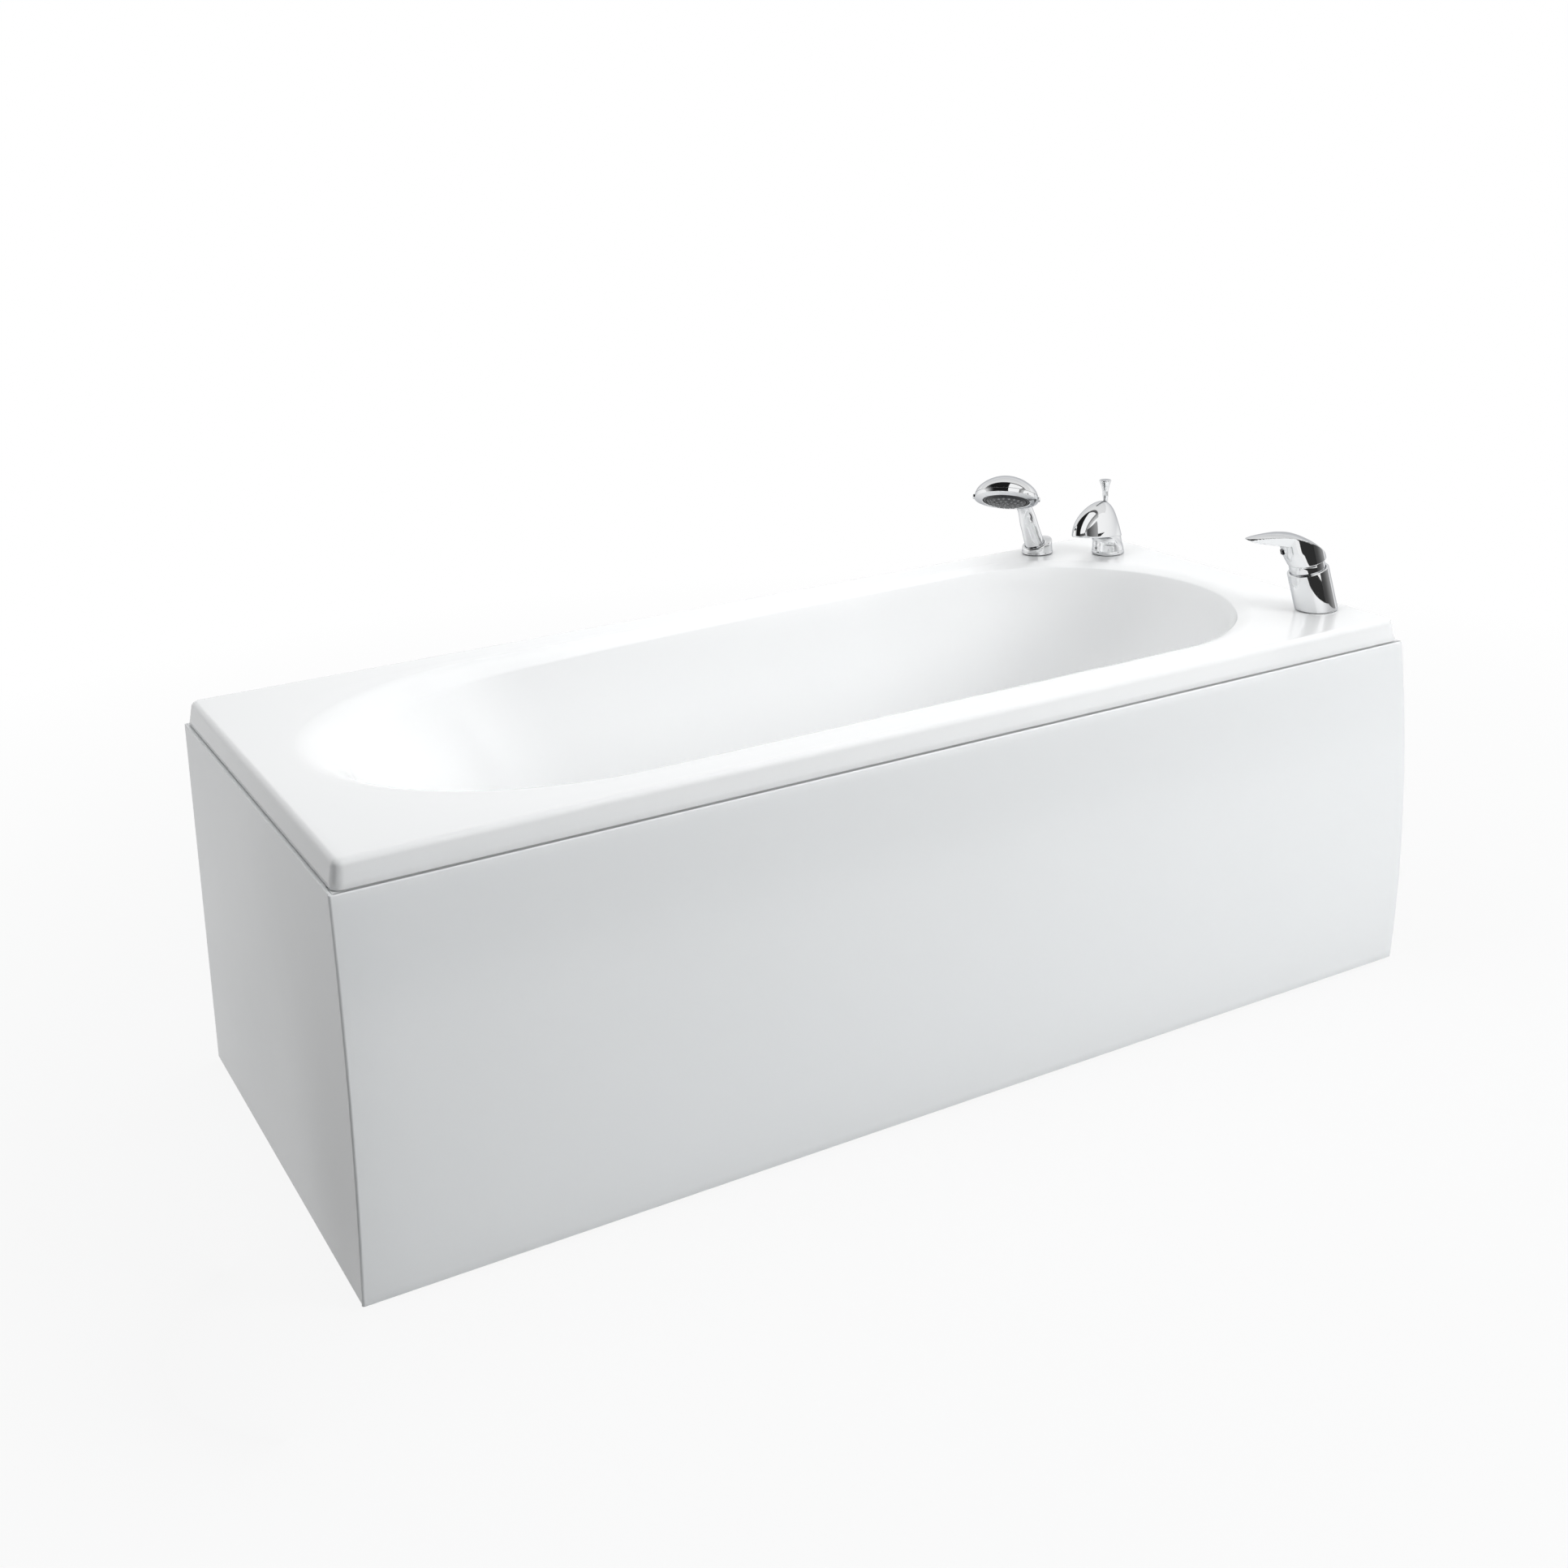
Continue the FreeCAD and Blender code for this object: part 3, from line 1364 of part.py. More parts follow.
nodes = {
    "tub_shell": tub_shell,
    "front_batten": lambda: with_screw_holes(long_batten(-1, mixer_x - washer_radius - batten_gap),
                                             clip_screw_spots(), deck_under - batten_height),
    "back_batten": lambda: long_batten(1, holder_x - washer_radius - batten_gap),
    "head_batten": lambda: with_screw_holes(end_batten(-1, open_half), clip_screw_spots(),
                                            deck_under - batten_height),
    "tap_batten": lambda: end_batten(1, open_half / 2),
    "baseboard": baseboard,
    "front_panel": front_panel,
    "end_panel": end_panel,
    "panel_clips": panel_clips,
    "wood_screws": wood_screws,
    "corner_blocks": corner_blocks,
    "panel_stays": panel_stays,
    "head_leg_bar": lambda: leg_bar(bar_head_x),
    "tap_leg_bar": lambda: leg_bar(bar_tap_x),
    "foot_nuts": foot_nuts,
    "waste_flange": waste_flange,
    "waste_seal": waste_seal,
    "waste_body": waste_body,
    "trap_nut": trap_nut,
    "trap_cup": trap_cup,
    "pop_up_plug": pop_up_plug,
    "overflow_flange": overflow_flange,
    "overflow_knob": overflow_knob,
    "overflow_seal": overflow_seal,
    "overflow_body": overflow_body,
    "overflow_pipe": overflow_pipe,
    "plug_cable": plug_cable,
    "deck_gaskets": deck_gaskets,
    "deck_washers": deck_washers,
    "deck_nuts": deck_nuts,
    "mixer_shank": lambda: shank(mixer_x, mixer_y, [tube_spot(t) for t in (mixed_turn, hot_turn, cold_turn)]),
    "spout_shank": lambda: shank(spout_x, spout_y, [(spout_x, spout_y)]),
    "holder_shank": holder_shank,
    "hot_tail": lambda: supply_tail(hot_turn, -1),
    "cold_tail": lambda: supply_tail(cold_turn, 1),
    "mixed_pipe": mixed_pipe,
    "mixer_body": mixer_body,
    "mixer_cartridge": mixer_cartridge,
    "cartridge_nut": cartridge_nut,
    "mixer_collar": mixer_collar,
    "mixer_turret": mixer_turret,
    "tilt_pin": tilt_pin,
    "lever_stem": lever_stem,
    "mixer_lever": mixer_lever,
    "lever_screw": lever_screw,
    "index_plug": index_plug,
    "spout_body": spout_body,
    "flow_insert": flow_insert,
    "diverter": diverter,
    "shower_holder": shower_holder,
    "shower_handset": shower_handset,
    "hose_nipple": hose_nipple,
    "selector_ring": selector_ring,
    "spray_face": spray_face,
}

foot_names = ("head_front_foot", "head_back_foot", "tap_front_foot", "tap_back_foot")


def save(name, shape):
    # The origin of the finished part is on the floor under the middle of its outer box.
    middle = Vector((panel_left + rim_length / 2) / 2, (bow_front() + rim_width / 2) / 2, 0)
    shape.translated(middle * -1).exportStep("parts/" + name + ".step")


os.makedirs("parts", exist_ok=True)
for node_name, make in nodes.items():
    save(node_name, make())
for foot_name, foot_spot in zip(foot_names, foot_spots()):
    save(foot_name, levelling_foot(*foot_spot))
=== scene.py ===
import bpy, bmesh, json, math
from mathutils import Matrix, Vector


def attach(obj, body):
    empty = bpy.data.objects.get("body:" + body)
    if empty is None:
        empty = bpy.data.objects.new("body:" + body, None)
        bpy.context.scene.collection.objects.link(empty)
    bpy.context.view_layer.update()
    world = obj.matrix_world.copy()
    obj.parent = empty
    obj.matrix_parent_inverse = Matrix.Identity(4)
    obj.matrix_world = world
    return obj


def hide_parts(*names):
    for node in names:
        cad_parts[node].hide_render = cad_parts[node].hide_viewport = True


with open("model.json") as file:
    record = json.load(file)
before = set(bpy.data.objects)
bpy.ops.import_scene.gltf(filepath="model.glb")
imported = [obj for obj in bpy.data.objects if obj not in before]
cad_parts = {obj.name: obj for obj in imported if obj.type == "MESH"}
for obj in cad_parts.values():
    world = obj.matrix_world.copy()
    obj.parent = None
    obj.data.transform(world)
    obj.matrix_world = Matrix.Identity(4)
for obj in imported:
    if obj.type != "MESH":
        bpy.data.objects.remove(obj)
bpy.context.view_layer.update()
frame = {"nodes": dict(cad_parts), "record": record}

mm = 0.001
shiftX, shiftY = 2.5, 7.011   # tub drawing to the shared frame, mm
scene = bpy.context.scene
nodes = frame["nodes"]
print("frame loaded", len(nodes))


def addMesh(name, verts, faces):
    mesh = bpy.data.meshes.new(name)
    mesh.from_pydata([tuple(v) for v in verts], [], faces)
    mesh.validate()
    piece = bpy.data.objects.new(name, mesh)
    scene.collection.objects.link(piece)
    return piece


def outward(piece, merge=0.000002):
    bm = bmesh.new()
    bm.from_mesh(piece.data)
    bmesh.ops.remove_doubles(bm, verts=bm.verts, dist=merge)
    bmesh.ops.recalc_face_normals(bm, faces=bm.faces)
    bm.to_mesh(piece.data)
    bm.free()


def softShade(piece, angle):
    piece.data.shade_smooth()
    piece.data.set_sharp_from_angle(angle=math.radians(angle))
    return piece


def baked(piece):
    # modifiers become plain mesh
    view = bpy.context.evaluated_depsgraph_get()
    view.update()
    mesh = bpy.data.meshes.new_from_object(piece.evaluated_get(view))
    piece.modifiers.clear()
    piece.data = mesh
    return piece


def cutBy(piece, cutters):
    for cutter in cutters:
        step = piece.modifiers.new("cut", "BOOLEAN")
        step.operation = "DIFFERENCE"
        step.solver = "EXACT"
        step.object = cutter
    baked(piece)
    for cutter in cutters:
        bpy.data.objects.remove(cutter)
    return piece


def dress(piece, body, slotName, finish, *stoodFor):
    if finish is not None:
        piece.data.materials.clear()
        piece.data.materials.append(finish)
    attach(piece, body)
    if stoodFor:
        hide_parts(*stoodFor)


def dressChrome(*rows):
    # rows are (builder, body, node it stands for)
    for build, body, node in rows:
        dress(build(), body, "chrome", finishes["chrome"], node)


def frameSpot(x, y, z):
    return Vector(((x + shiftX) * mm, (y + shiftY) * mm, z * mm))


def spun(degrees, axis):
    return Matrix.Rotation(math.radians(degrees), 4, axis)


def placeAt(x, y, z, facing=0.0, lean=0.0, twist=0.0):
    # millimetre drawing of one fitting to the shared frame
    place = Matrix.Translation(frameSpot(x, y, z)) @ spun(facing, "Z")
    return place @ spun(lean, "Y") @ spun(twist, "Z") @ Matrix.Scale(mm, 4)


def roundedLine(corners, steps=6):
    # corners are (across, along, radius); each gets a tangent arc
    line = []
    count = len(corners)
    for index, (a, b, radius) in enumerate(corners):
        here = Vector((a, b))
        if radius <= 0 or index in (0, count - 1):
            line.append(here)
            continue
        back = Vector(corners[index - 1][:2]) - here
        on = Vector(corners[index + 1][:2]) - here
        half = back.angle(on) / 2
        reach = min(radius / math.tan(half), back.length * 0.49, on.length * 0.49)
        size = reach * math.tan(half)
        back.normalize()
        on.normalize()
        middle = here + (back + on).normalized() * (size / math.sin(half))
        first, last = here + back * reach - middle, here + on * reach - middle
        turn = first.angle_signed(last)
        for step in range(steps + 1):
            spin = Matrix.Rotation(-turn * step / steps, 2)
            line.append(middle + spin @ first)
    return line


def lathe(name, line, place, segments=96, closed=False):
    # turns (radius, height) points about the local upright axis
    verts, faces, rings = [], [], []
    for r, z in line:
        if r < 0.0005:
            rings.append([len(verts)])
            verts.append(place @ Vector((0, 0, z)))
            continue
        ring = []
        for k in range(segments):
            turn = 2 * math.pi * k / segments
            ring.append(len(verts))
            verts.append(place @ Vector((r * math.cos(turn), r * math.sin(turn), z)))
        rings.append(ring)
    pairs = list(zip(rings, rings[1:]))
    if closed:
        pairs.append((rings[-1], rings[0]))
    for one, two in pairs:
        for k in range(segments):
            m = (k + 1) % segments
            if len(one) == 1 and len(two) > 1:
                faces.append((one[0], two[k], two[m]))
            elif len(two) == 1 and len(one) > 1:
                faces.append((one[k], one[m], two[0]))
            elif len(one) > 1:
                faces.append((one[k], one[m], two[m], two[k]))
    piece = addMesh(name, verts, faces)
    outward(piece)
    return piece


def ringStack(name, rings):
    # joins rings of equal count and closes both ends
    verts = [v for ring in rings for v in ring]
    size = len(rings[0])
    faces = []
    for start in range(0, len(verts) - size, size):
        for k in range(size):
            m = (k + 1) % size
            faces.append((start + k, start + m, start + size + m, start + size + k))
    faces.append(tuple(range(size)))
    faces.append(tuple(range(len(verts) - size, len(verts))))
    piece = addMesh(name, verts, faces)
    outward(piece)
    return piece


def joinPieces(name, parts):
    verts, faces = [], []
    for part in parts:
        start = len(verts)
        verts += [v.co.copy() for v in part.data.vertices]
        faces += [tuple(start + i for i in f.vertices) for f in part.data.polygons]
        bpy.data.objects.remove(part)
    return addMesh(name, verts, faces)


def ovalRing(place, middle, halfX, halfY, z, count=96):
    ring = []
    for k in range(count):
        turn = 2 * math.pi * k / count
        ring.append(place @ Vector((middle + halfX * math.cos(turn), halfY * math.sin(turn), z)))
    return ring


def slantRing(place, radius, heightAt, count):
    # circle whose height follows its x
    ring = []
    for k in range(count):
        turn = 2 * math.pi * k / count
        x, y = radius * math.cos(turn), radius * math.sin(turn)
        ring.append(place @ Vector((x, y, heightAt(x))))
    return ring


def drill(radius, low, top, place, segments):
    # round cutter between two heights
    return lathe("cut", [(0, low), (radius, low), (radius, top), (0, top)], place, segments)


# wiring of node trees
def wire(tree, *joins):
    # joins are (node, output, node, input)
    for fromNode, outLabel, toNode, inLabel in joins:
        tree.links.new(fromNode.outputs[outLabel], toNode.inputs[inLabel])


def addNodes(tree, *kinds):
    return [tree.nodes.new(kind) for kind in kinds]


def addSockets(tree, side, kinds):
    # returns the identifiers by label
    made = {}
    for label, kind in kinds.items():
        made[label] = tree.interface.new_socket(name=label, in_out=side, socket_type="NodeSocket" + kind).identifier
    return made


def fill(node, **values):
    # underscores stand for the spaces of a label
    for label, value in values.items():
        node.inputs[label.replace("_", " ")].default_value = value


def newPaint(name):
    paint = bpy.data.materials.new(name)
    paint.use_nodes = True
    return paint, paint.node_tree, paint.node_tree.nodes["Principled BSDF"]


# shared shader groups and finishes
mixFirst, mixSecond, mixResult = 6, 7, 2   # colour sockets of a mix node


def surfaceGroup():
    # patchy colour, uneven gloss and fine relief
    group = bpy.data.node_groups.new("unevenSurface", "ShaderNodeTree")
    addSockets(group, "INPUT", {"Place": "Vector", "Light": "Color", "Dark": "Color", "Patch": "Float",
                                "Smooth": "Float", "Dull": "Float", "Grain": "Float", "Relief": "Float"})
    addSockets(group, "OUTPUT", {"Color": "Color", "Roughness": "Float", "Normal": "Vector"})
    into, out, patch, grain, tint, gloss, bump = addNodes(
        group, "NodeGroupInput", "NodeGroupOutput", "ShaderNodeTexNoise", "ShaderNodeTexNoise", "ShaderNodeMix",
        "ShaderNodeMapRange", "ShaderNodeBump")
    tint.data_type = "RGBA"
    fill(patch, Detail=4.0)
    fill(grain, Detail=2.0)
    fill(bump, Distance=0.0004)
    fill(gloss, From_Min=0.3, From_Max=0.7)
    wire(group, (into, "Place", patch, "Vector"), (into, "Place", grain, "Vector"), (into, "Patch", patch, "Scale"),
         (into, "Grain", grain, "Scale"), (patch, "Fac", tint, "Factor"), (into, "Light", tint, mixFirst),
         (into, "Dark", tint, mixSecond), (patch, "Fac", gloss, "Value"), (into, "Smooth", gloss, "To Min"),
         (into, "Dull", gloss, "To Max"), (grain, "Fac", bump, "Height"), (into, "Relief", bump, "Strength"),
         (tint, mixResult, out, "Color"), (gloss, "Result", out, "Roughness"), (bump, "Normal", out, "Normal"))
    return group


def grainGroup():
    # sawn wood: rings stretched along X
    group = bpy.data.node_groups.new("sawnGrain", "ShaderNodeTree")
    addSockets(group, "INPUT", {"Place": "Vector", "Early": "Color", "Late": "Color", "Rings": "Float"})
    addSockets(group, "OUTPUT", {"Color": "Color", "Normal": "Vector"})
    into, out, stretch, rings, tint, bump = addNodes(
        group, "NodeGroupInput", "NodeGroupOutput", "ShaderNodeMapping", "ShaderNodeTexWave", "ShaderNodeMix",
        "ShaderNodeBump")
    rings.wave_type = "RINGS"
    tint.data_type = "RGBA"
    fill(stretch, Scale=(0.12, 1.0, 1.0))
    fill(rings, Distortion=5.0, Detail=3.0)
    fill(bump, Distance=0.0005, Strength=0.35)
    wire(group, (into, "Place", stretch, "Vector"), (stretch, "Vector", rings, "Vector"),
         (into, "Rings", rings, "Scale"), (rings, "Fac", tint, "Factor"), (into, "Early", tint, mixFirst),
         (into, "Late", tint, mixSecond), (rings, "Fac", bump, "Height"), (tint, mixResult, out, "Color"),
         (bump, "Normal", out, "Normal"))
    return group


unevenSurface, sawnGrain = surfaceGroup(), grainGroup()


def finishOf(name, light, dark, patch, smooth, dull, grain, relief, **onShader):
    paint, tree, shader = newPaint(name)
    place, look = addNodes(tree, "ShaderNodeTexCoord", "ShaderNodeGroup")
    look.node_tree = unevenSurface
    fill(look, Light=(*light, 1), Dark=(*dark, 1), Patch=patch, Smooth=smooth, Dull=dull, Grain=grain, Relief=relief)
    fill(shader, **onShader)
    wire(tree, (place, "Object", look, "Place"), (look, "Color", shader, "Base Color"),
         (look, "Roughness", shader, "Roughness"), (look, "Normal", shader, "Normal"))
    return paint


def woodFinish():
    paint, tree, shader = newPaint("sawnSpruce")
    place, look = addNodes(tree, "ShaderNodeTexCoord", "ShaderNodeGroup")
    look.node_tree = sawnGrain
    fill(look, Early=(0.7, 0.55, 0.37, 1), Late=(0.5, 0.35, 0.2, 1), Rings=90.0)
    fill(shader, Roughness=0.7)
    wire(tree, (place, "Object", look, "Place"), (look, "Color", shader, "Base Color"),
         (look, "Normal", shader, "Normal"))
    return paint


# light and dark colour, patches per metre, least and most roughness, grain per metre, relief
finishes = {
    "acrylic": finishOf("whiteAcrylic", (0.935, 0.938, 0.94), (0.92, 0.924, 0.927), 3.0, 0.10, 0.17, 260.0, 0.02,
                        Coat_Weight=0.25, Coat_Roughness=0.05),
    # the panels' copy of the white acrylic is a little darker and cooler than the shell's: painted shade and painted
    # cool fill light on the upright sheets
    "panel": finishOf("shadedWhitePanel", (0.90, 0.908, 0.914), (0.885, 0.895, 0.902), 2.5, 0.18, 0.27, 300.0, 0.03,
                      Coat_Weight=0.12, Coat_Roughness=0.12),
    "resin": finishOf("resinBack", (0.80, 0.78, 0.70), (0.68, 0.66, 0.58), 14.0, 0.5, 0.75, 130.0, 0.9),
    "chrome": finishOf("polishedChrome", (0.90, 0.905, 0.91), (0.86, 0.868, 0.876), 9.0, 0.025, 0.07, 500.0, 0.008,
                       Metallic=1.0, Specular_Tint=(0.50, 0.51, 0.53, 1)),
    "zinc": finishOf("zincPlate", (0.66, 0.67, 0.68), (0.47, 0.48, 0.50), 60.0, 0.30, 0.5, 300.0, 0.2,
                     Metallic=1.0),
    "brass": finishOf("turnedBrass", (0.76, 0.62, 0.35), (0.60, 0.46, 0.24), 30.0, 0.22, 0.42, 380.0, 0.15,
                      Metallic=1.0),
    "plastic": finishOf("wastePlastic", (0.87, 0.87, 0.86), (0.80, 0.80, 0.78), 18.0, 0.35, 0.5, 500.0, 0.12),
    "rubber": finishOf("sealRubber", (0.050, 0.050, 0.052), (0.028, 0.028, 0.030), 40.0, 0.6, 0.8, 420.0, 0.3),
    "sprayGrey": finishOf("sprayGrey", (0.060, 0.063, 0.066), (0.040, 0.042, 0.044), 70.0, 0.32, 0.5, 600.0, 0.15),
    "nozzle": finishOf("softNozzle", (0.30, 0.305, 0.31), (0.24, 0.245, 0.25), 90.0, 0.4, 0.55, 600.0, 0.12),
    "black": finishOf("glossBlack", (0.020, 0.020, 0.022), (0.012, 0.012, 0.013), 30.0, 0.12, 0.25, 500.0, 0.05),
    "foot": finishOf("footPlastic", (0.085, 0.085, 0.09), (0.055, 0.055, 0.06), 35.0, 0.45, 0.62, 450.0, 0.25),
    "wood": woodFinish(),
}
print("finishes ready", len(finishes))

# tub shell
tub = {"halfLong": 800.0, "halfWide": 350.0, "top": 540.0, "lipLow": 507.0, "lipFlare": 6.0, "lipTurn": 0.7,
       "corner": 14.0, "edge": 9.0, "skin": 6.0, "headDeck": 64.0, "tapDeck": 70.0, "sideDeck": 63.0,
       "headRound": 350.0, "tapRound": 260.0, "headBand": 70.0, "tapBand": 24.0, "sideBand": 22.0,
       "headDrop": 40.0, "tapDrop": 6.0, "dropPower": 3.0, "rollPower": 1.8, "floor": 140.0, "backRun": 276.0,
       "tapRun": 90.0, "sideRun": 65.0, "floorHeadRound": 220.0, "floorTapRound": 180.0, "floorRun": 60.0,
       "straight": 0.75, "creaseSoft": 1.6, "deckHole": 15.0, "wasteX": 400.0, "wasteHole": 27.0,
       "overflow": (0.4025, -0.248331, 0.47), "overflowHole": 26.0,
       "deckHoles": {"mixer": (741.0, -240.5), "spout": (715.0, 223.5), "shower": (621.5, 297.5)}}
openHead, openTap = tub["headDeck"] - tub["halfLong"], tub["halfLong"] - tub["tapDeck"]
openHalf = tub["halfWide"] - tub["sideDeck"]
creaseHead, creaseTap = openHead + tub["headBand"], openTap - tub["tapBand"]
creaseHalf = openHalf - tub["sideBand"]
floorHead, floorTap = creaseHead + tub["backRun"], creaseTap - tub["tapRun"]
floorHalf = creaseHalf - tub["sideRun"]
arcSpan, sideSpan = 6.0, 10.0
ringSpan = 4 * arcSpan + 2 * sideSpan


def ovalSpot(u, head, tap, half, headArc, tapArc):
    # plan outline: half ellipses at the ends, straight sides between
    tapMid, headMid = tap - tapArc, head + headArc
    if u < arcSpan:
        turn = math.pi / 2 * u / arcSpan
        return tapMid + tapArc * math.cos(turn), half * math.sin(turn)
    u -= arcSpan
    if u < sideSpan:
        return tapMid + (headMid - tapMid) * u / sideSpan, half
    u -= sideSpan
    if u < 2 * arcSpan:
        turn = math.pi / 2 * (1 + u / arcSpan)
        return headMid + headArc * math.cos(turn), half * math.sin(turn)
    u -= 2 * arcSpan
    if u < sideSpan:
        return headMid + (tapMid - headMid) * u / sideSpan, -half
    turn = math.pi / 2 * (3 + (u - sideSpan) / arcSpan)
    return tapMid + tapArc * math.cos(turn), half * math.sin(turn)


def mouthSpot(u):
    return ovalSpot(u, openHead, openTap, openHalf, tub["headRound"], tub["tapRound"])


def creaseSpot(u):
    x, y = ovalSpot(u, creaseHead, creaseTap, creaseHalf, tub["headRound"] - tub["headBand"] / 2,
                    tub["tapRound"] - tub["tapBand"] / 2)
    share = max((creaseTap - x) / (creaseTap - creaseHead), 0.0)
    drop = tub["tapDrop"] + (tub["headDrop"] - tub["tapDrop"]) * share ** tub["dropPower"]
    return Vector((x, y, tub["top"] - drop))


def floorSpot(u, inset):
    x, y = ovalSpot(u, floorHead + inset, floorTap - inset, floorHalf - inset, tub["floorHeadRound"] - inset,
                    tub["floorTapRound"] - inset)
    return Vector((x, y, tub["floor"]))


def rimOutline(inset, perCorner=10):
    halfX, halfY = tub["halfLong"] - inset, tub["halfWide"] - inset
    radius = max(tub["corner"] - inset * 0.6, 4.0)
    spots = []
    for cx, cy, first in ((1, 1, 0.0), (-1, 1, 90.0), (-1, -1, 180.0), (1, -1, 270.0)):
        for step in range(perCorner + 1):
            turn = math.radians(first + 90.0 * step / perCorner)
            spots.append((cx * (halfX - radius) + radius * math.cos(turn),
                          cy * (halfY - radius) + radius * math.sin(turn)))
    return spots


def bearing(x, y):
    return math.atan2(y / tub["halfWide"], x / tub["halfLong"]) % (2 * math.pi)


def lookUp(table, key):
    low, high = 0, len(table) - 1
    while high - low > 1:
        mid = (low + high) // 2
        if table[mid][0] <= key:
            low = mid
        else:
            high = mid
    (k0, v0), (k1, v1) = table[low], table[high]
    share = 0.0 if k1 == k0 else (key - k0) / (k1 - k0)
    return v0 + (v1 - v0) * share


def wrapped(table):
    # one turn of (bearing, value) with a copy of the ends on both sides
    table = sorted(table, key=lambda row: row[0])
    full = 2 * math.pi
    return [(table[-1][0] - full, table[-1][1])] + table + [(table[0][0] + full, table[0][1])]


def tubGrid():
    fine, stepU, closest = 4000, 0.2, 0.0004   # samples of the mouth, spacing of columns, least bearing apart
    edgeSteps, rollSteps, wallSteps, bendSteps = 8, 15, 12, 14
    mouthTable = [(bearing(*mouthSpot(ringSpan * k / fine)), ringSpan * k / fine) for k in range(fine)]
    mouthTable.sort()
    mouthTable = [(mouthTable[-1][0] - 2 * math.pi, mouthTable[-1][1] - ringSpan)] + mouthTable
    mouthTable.append((mouthTable[1][0] + 2 * math.pi, mouthTable[1][1] + ringSpan))
    bearings = [bearing(*spot) for spot in rimOutline(0.0)]
    bearings += [bearing(*mouthSpot(stepU * k)) for k in range(int(ringSpan / stepU))]
    bearings.sort()
    keep = [bearings[0]]
    for value in bearings[1:]:
        if value - keep[-1] > closest:
            keep.append(value)
    us = [lookUp(mouthTable, value) % ringSpan for value in keep]

    def rimRow(inset, z):
        outline = rimOutline(inset)
        xs = wrapped([(bearing(*spot), spot[0]) for spot in outline])
        ys = wrapped([(bearing(*spot), spot[1]) for spot in outline])
        return [Vector((lookUp(xs, value), lookUp(ys, value), z)) for value in keep]

    rows = []
    sideTop = tub["top"] - tub["edge"]
    lipTall = tub["top"] - tub["lipLow"]

    def flareAt(z):
        return tub["lipFlare"] * (z - tub["lipLow"]) / lipTall

    rows.append(rimRow(tub["lipTurn"], tub["lipLow"]))
    for z in (tub["lipLow"] + 1.2, tub["lipLow"] + 8.0, tub["lipLow"] + 16.0, sideTop):
        rows.append(rimRow(flareAt(z), z))
    for step in range(1, edgeSteps + 1):
        turn = math.pi / 2 * step / edgeSteps
        inset = flareAt(sideTop) + tub["edge"] * (1 - math.cos(turn))
        rows.append(rimRow(inset, sideTop + tub["edge"] * math.sin(turn)))
    mouth = [Vector((*mouthSpot(u), tub["top"])) for u in us]
    crease = [creaseSpot(u) for u in us]
    edgeRow = rows[-1]
    for share in (0.04, 0.35, 0.7):
        rows.append([a.lerp(b, share) for a, b in zip(edgeRow, mouth)])

    def rollSpot(m, c, share):
        spot = m.lerp(c, share)
        spot.z = m.z - (m.z - c.z) * share ** tub["rollPower"]
        return spot

    for step in range(rollSteps):
        rows.append([rollSpot(m, c, step / rollSteps) for m, c in zip(mouth, crease)])
    corner = [floorSpot(u, 0.0) for u in us]
    flat = [floorSpot(u, tub["floorRun"]) for u in us]
    turnIn = [c.lerp(f, tub["straight"]) for c, f in zip(crease, corner)]
    soft = tub["creaseSoft"]
    before = [rollSpot(m, c, 1 - soft / (m - c).length) for m, c in zip(mouth, crease)]
    after = [c + (t - c).normalized() * soft for c, t in zip(crease, turnIn)]
    rows.append(before)
    rows.append([(b + a + c * 2) / 4 for b, a, c in zip(before, after, crease)])
    rows.append(after)

    def bendSpot(t, k, f, share):
        return t.lerp(k, share).lerp(k.lerp(f, share), share)

    for step in range(1, wallSteps + 1):
        rows.append([c.lerp(t, step / wallSteps) for c, t in zip(crease, turnIn)])
    for step in range(1, bendSteps + 1):
        rows.append([bendSpot(t, k, f, step / bendSteps) for t, k, f in zip(turnIn, corner, flat)])

    # back of the sheet, one skin behind
    skin, count = tub["skin"], len(us)

    def faceWays(row, downs):
        ways = []
        for j in range(count):
            way = (row[(j + 1) % count] - row[j - 1]).cross(downs[j]).normalized()
            ways.append(way if way.z > 0 else -way)
        return ways

    low = tub["top"] - skin
    backs = [rimRow(flareAt(z) + skin, z) for z in (tub["lipLow"], tub["lipLow"] + 16.0, low)]
    under = [Vector((m.x, m.y, low)) for m in mouth]
    for share in (0.3, 0.65):
        backs.append([a.lerp(b, share) for a, b in zip(backs[2], under)])
    for share in (0.0, 0.35, 0.65):
        backs.append([rollSpot(m, c, share) - Vector((0, 0, skin)) for m, c in zip(mouth, crease)])
    rollWays = faceWays(crease, [c - rollSpot(m, c, 0.9) for m, c in zip(mouth, crease)])
    wallDowns = [t - c for c, t in zip(crease, turnIn)]
    wallWays = faceWays(crease, wallDowns)
    backs.append([c - (n + w) * (skin / (1 + n.dot(w))) for c, n, w in zip(crease, rollWays, wallWays)])
    for step in (3, 6, 9, 12):
        row = [c.lerp(t, step / wallSteps) for c, t in zip(crease, turnIn)]
        backs.append([spot - way * skin for spot, way in zip(row, faceWays(row, wallDowns))])
    for step in (3, 6, 9, 12):
        row = [bendSpot(t, k, f, step / bendSteps) for t, k, f in zip(turnIn, corner, flat)]
        ahead = [bendSpot(t, k, f, step / bendSteps + 0.02) for t, k, f in zip(turnIn, corner, flat)]
        downs = [q - r for q, r in zip(ahead, row)]
        backs.append([spot - way * skin for spot, way in zip(row, faceWays(row, downs))])
    backs.append([f - Vector((0, 0, skin)) for f in flat])
    return rows, backs


# local upright axis at the overflow points into the basin
overflowTilt = math.atan2(tub["sideRun"], tub["top"] - tub["tapDrop"] - tub["floor"])
overflowPlace = (Matrix.Translation(tub["overflow"])
                 @ Matrix.Rotation(-math.pi / 2 + overflowTilt, 4, "X") @ Matrix.Scale(mm, 4))


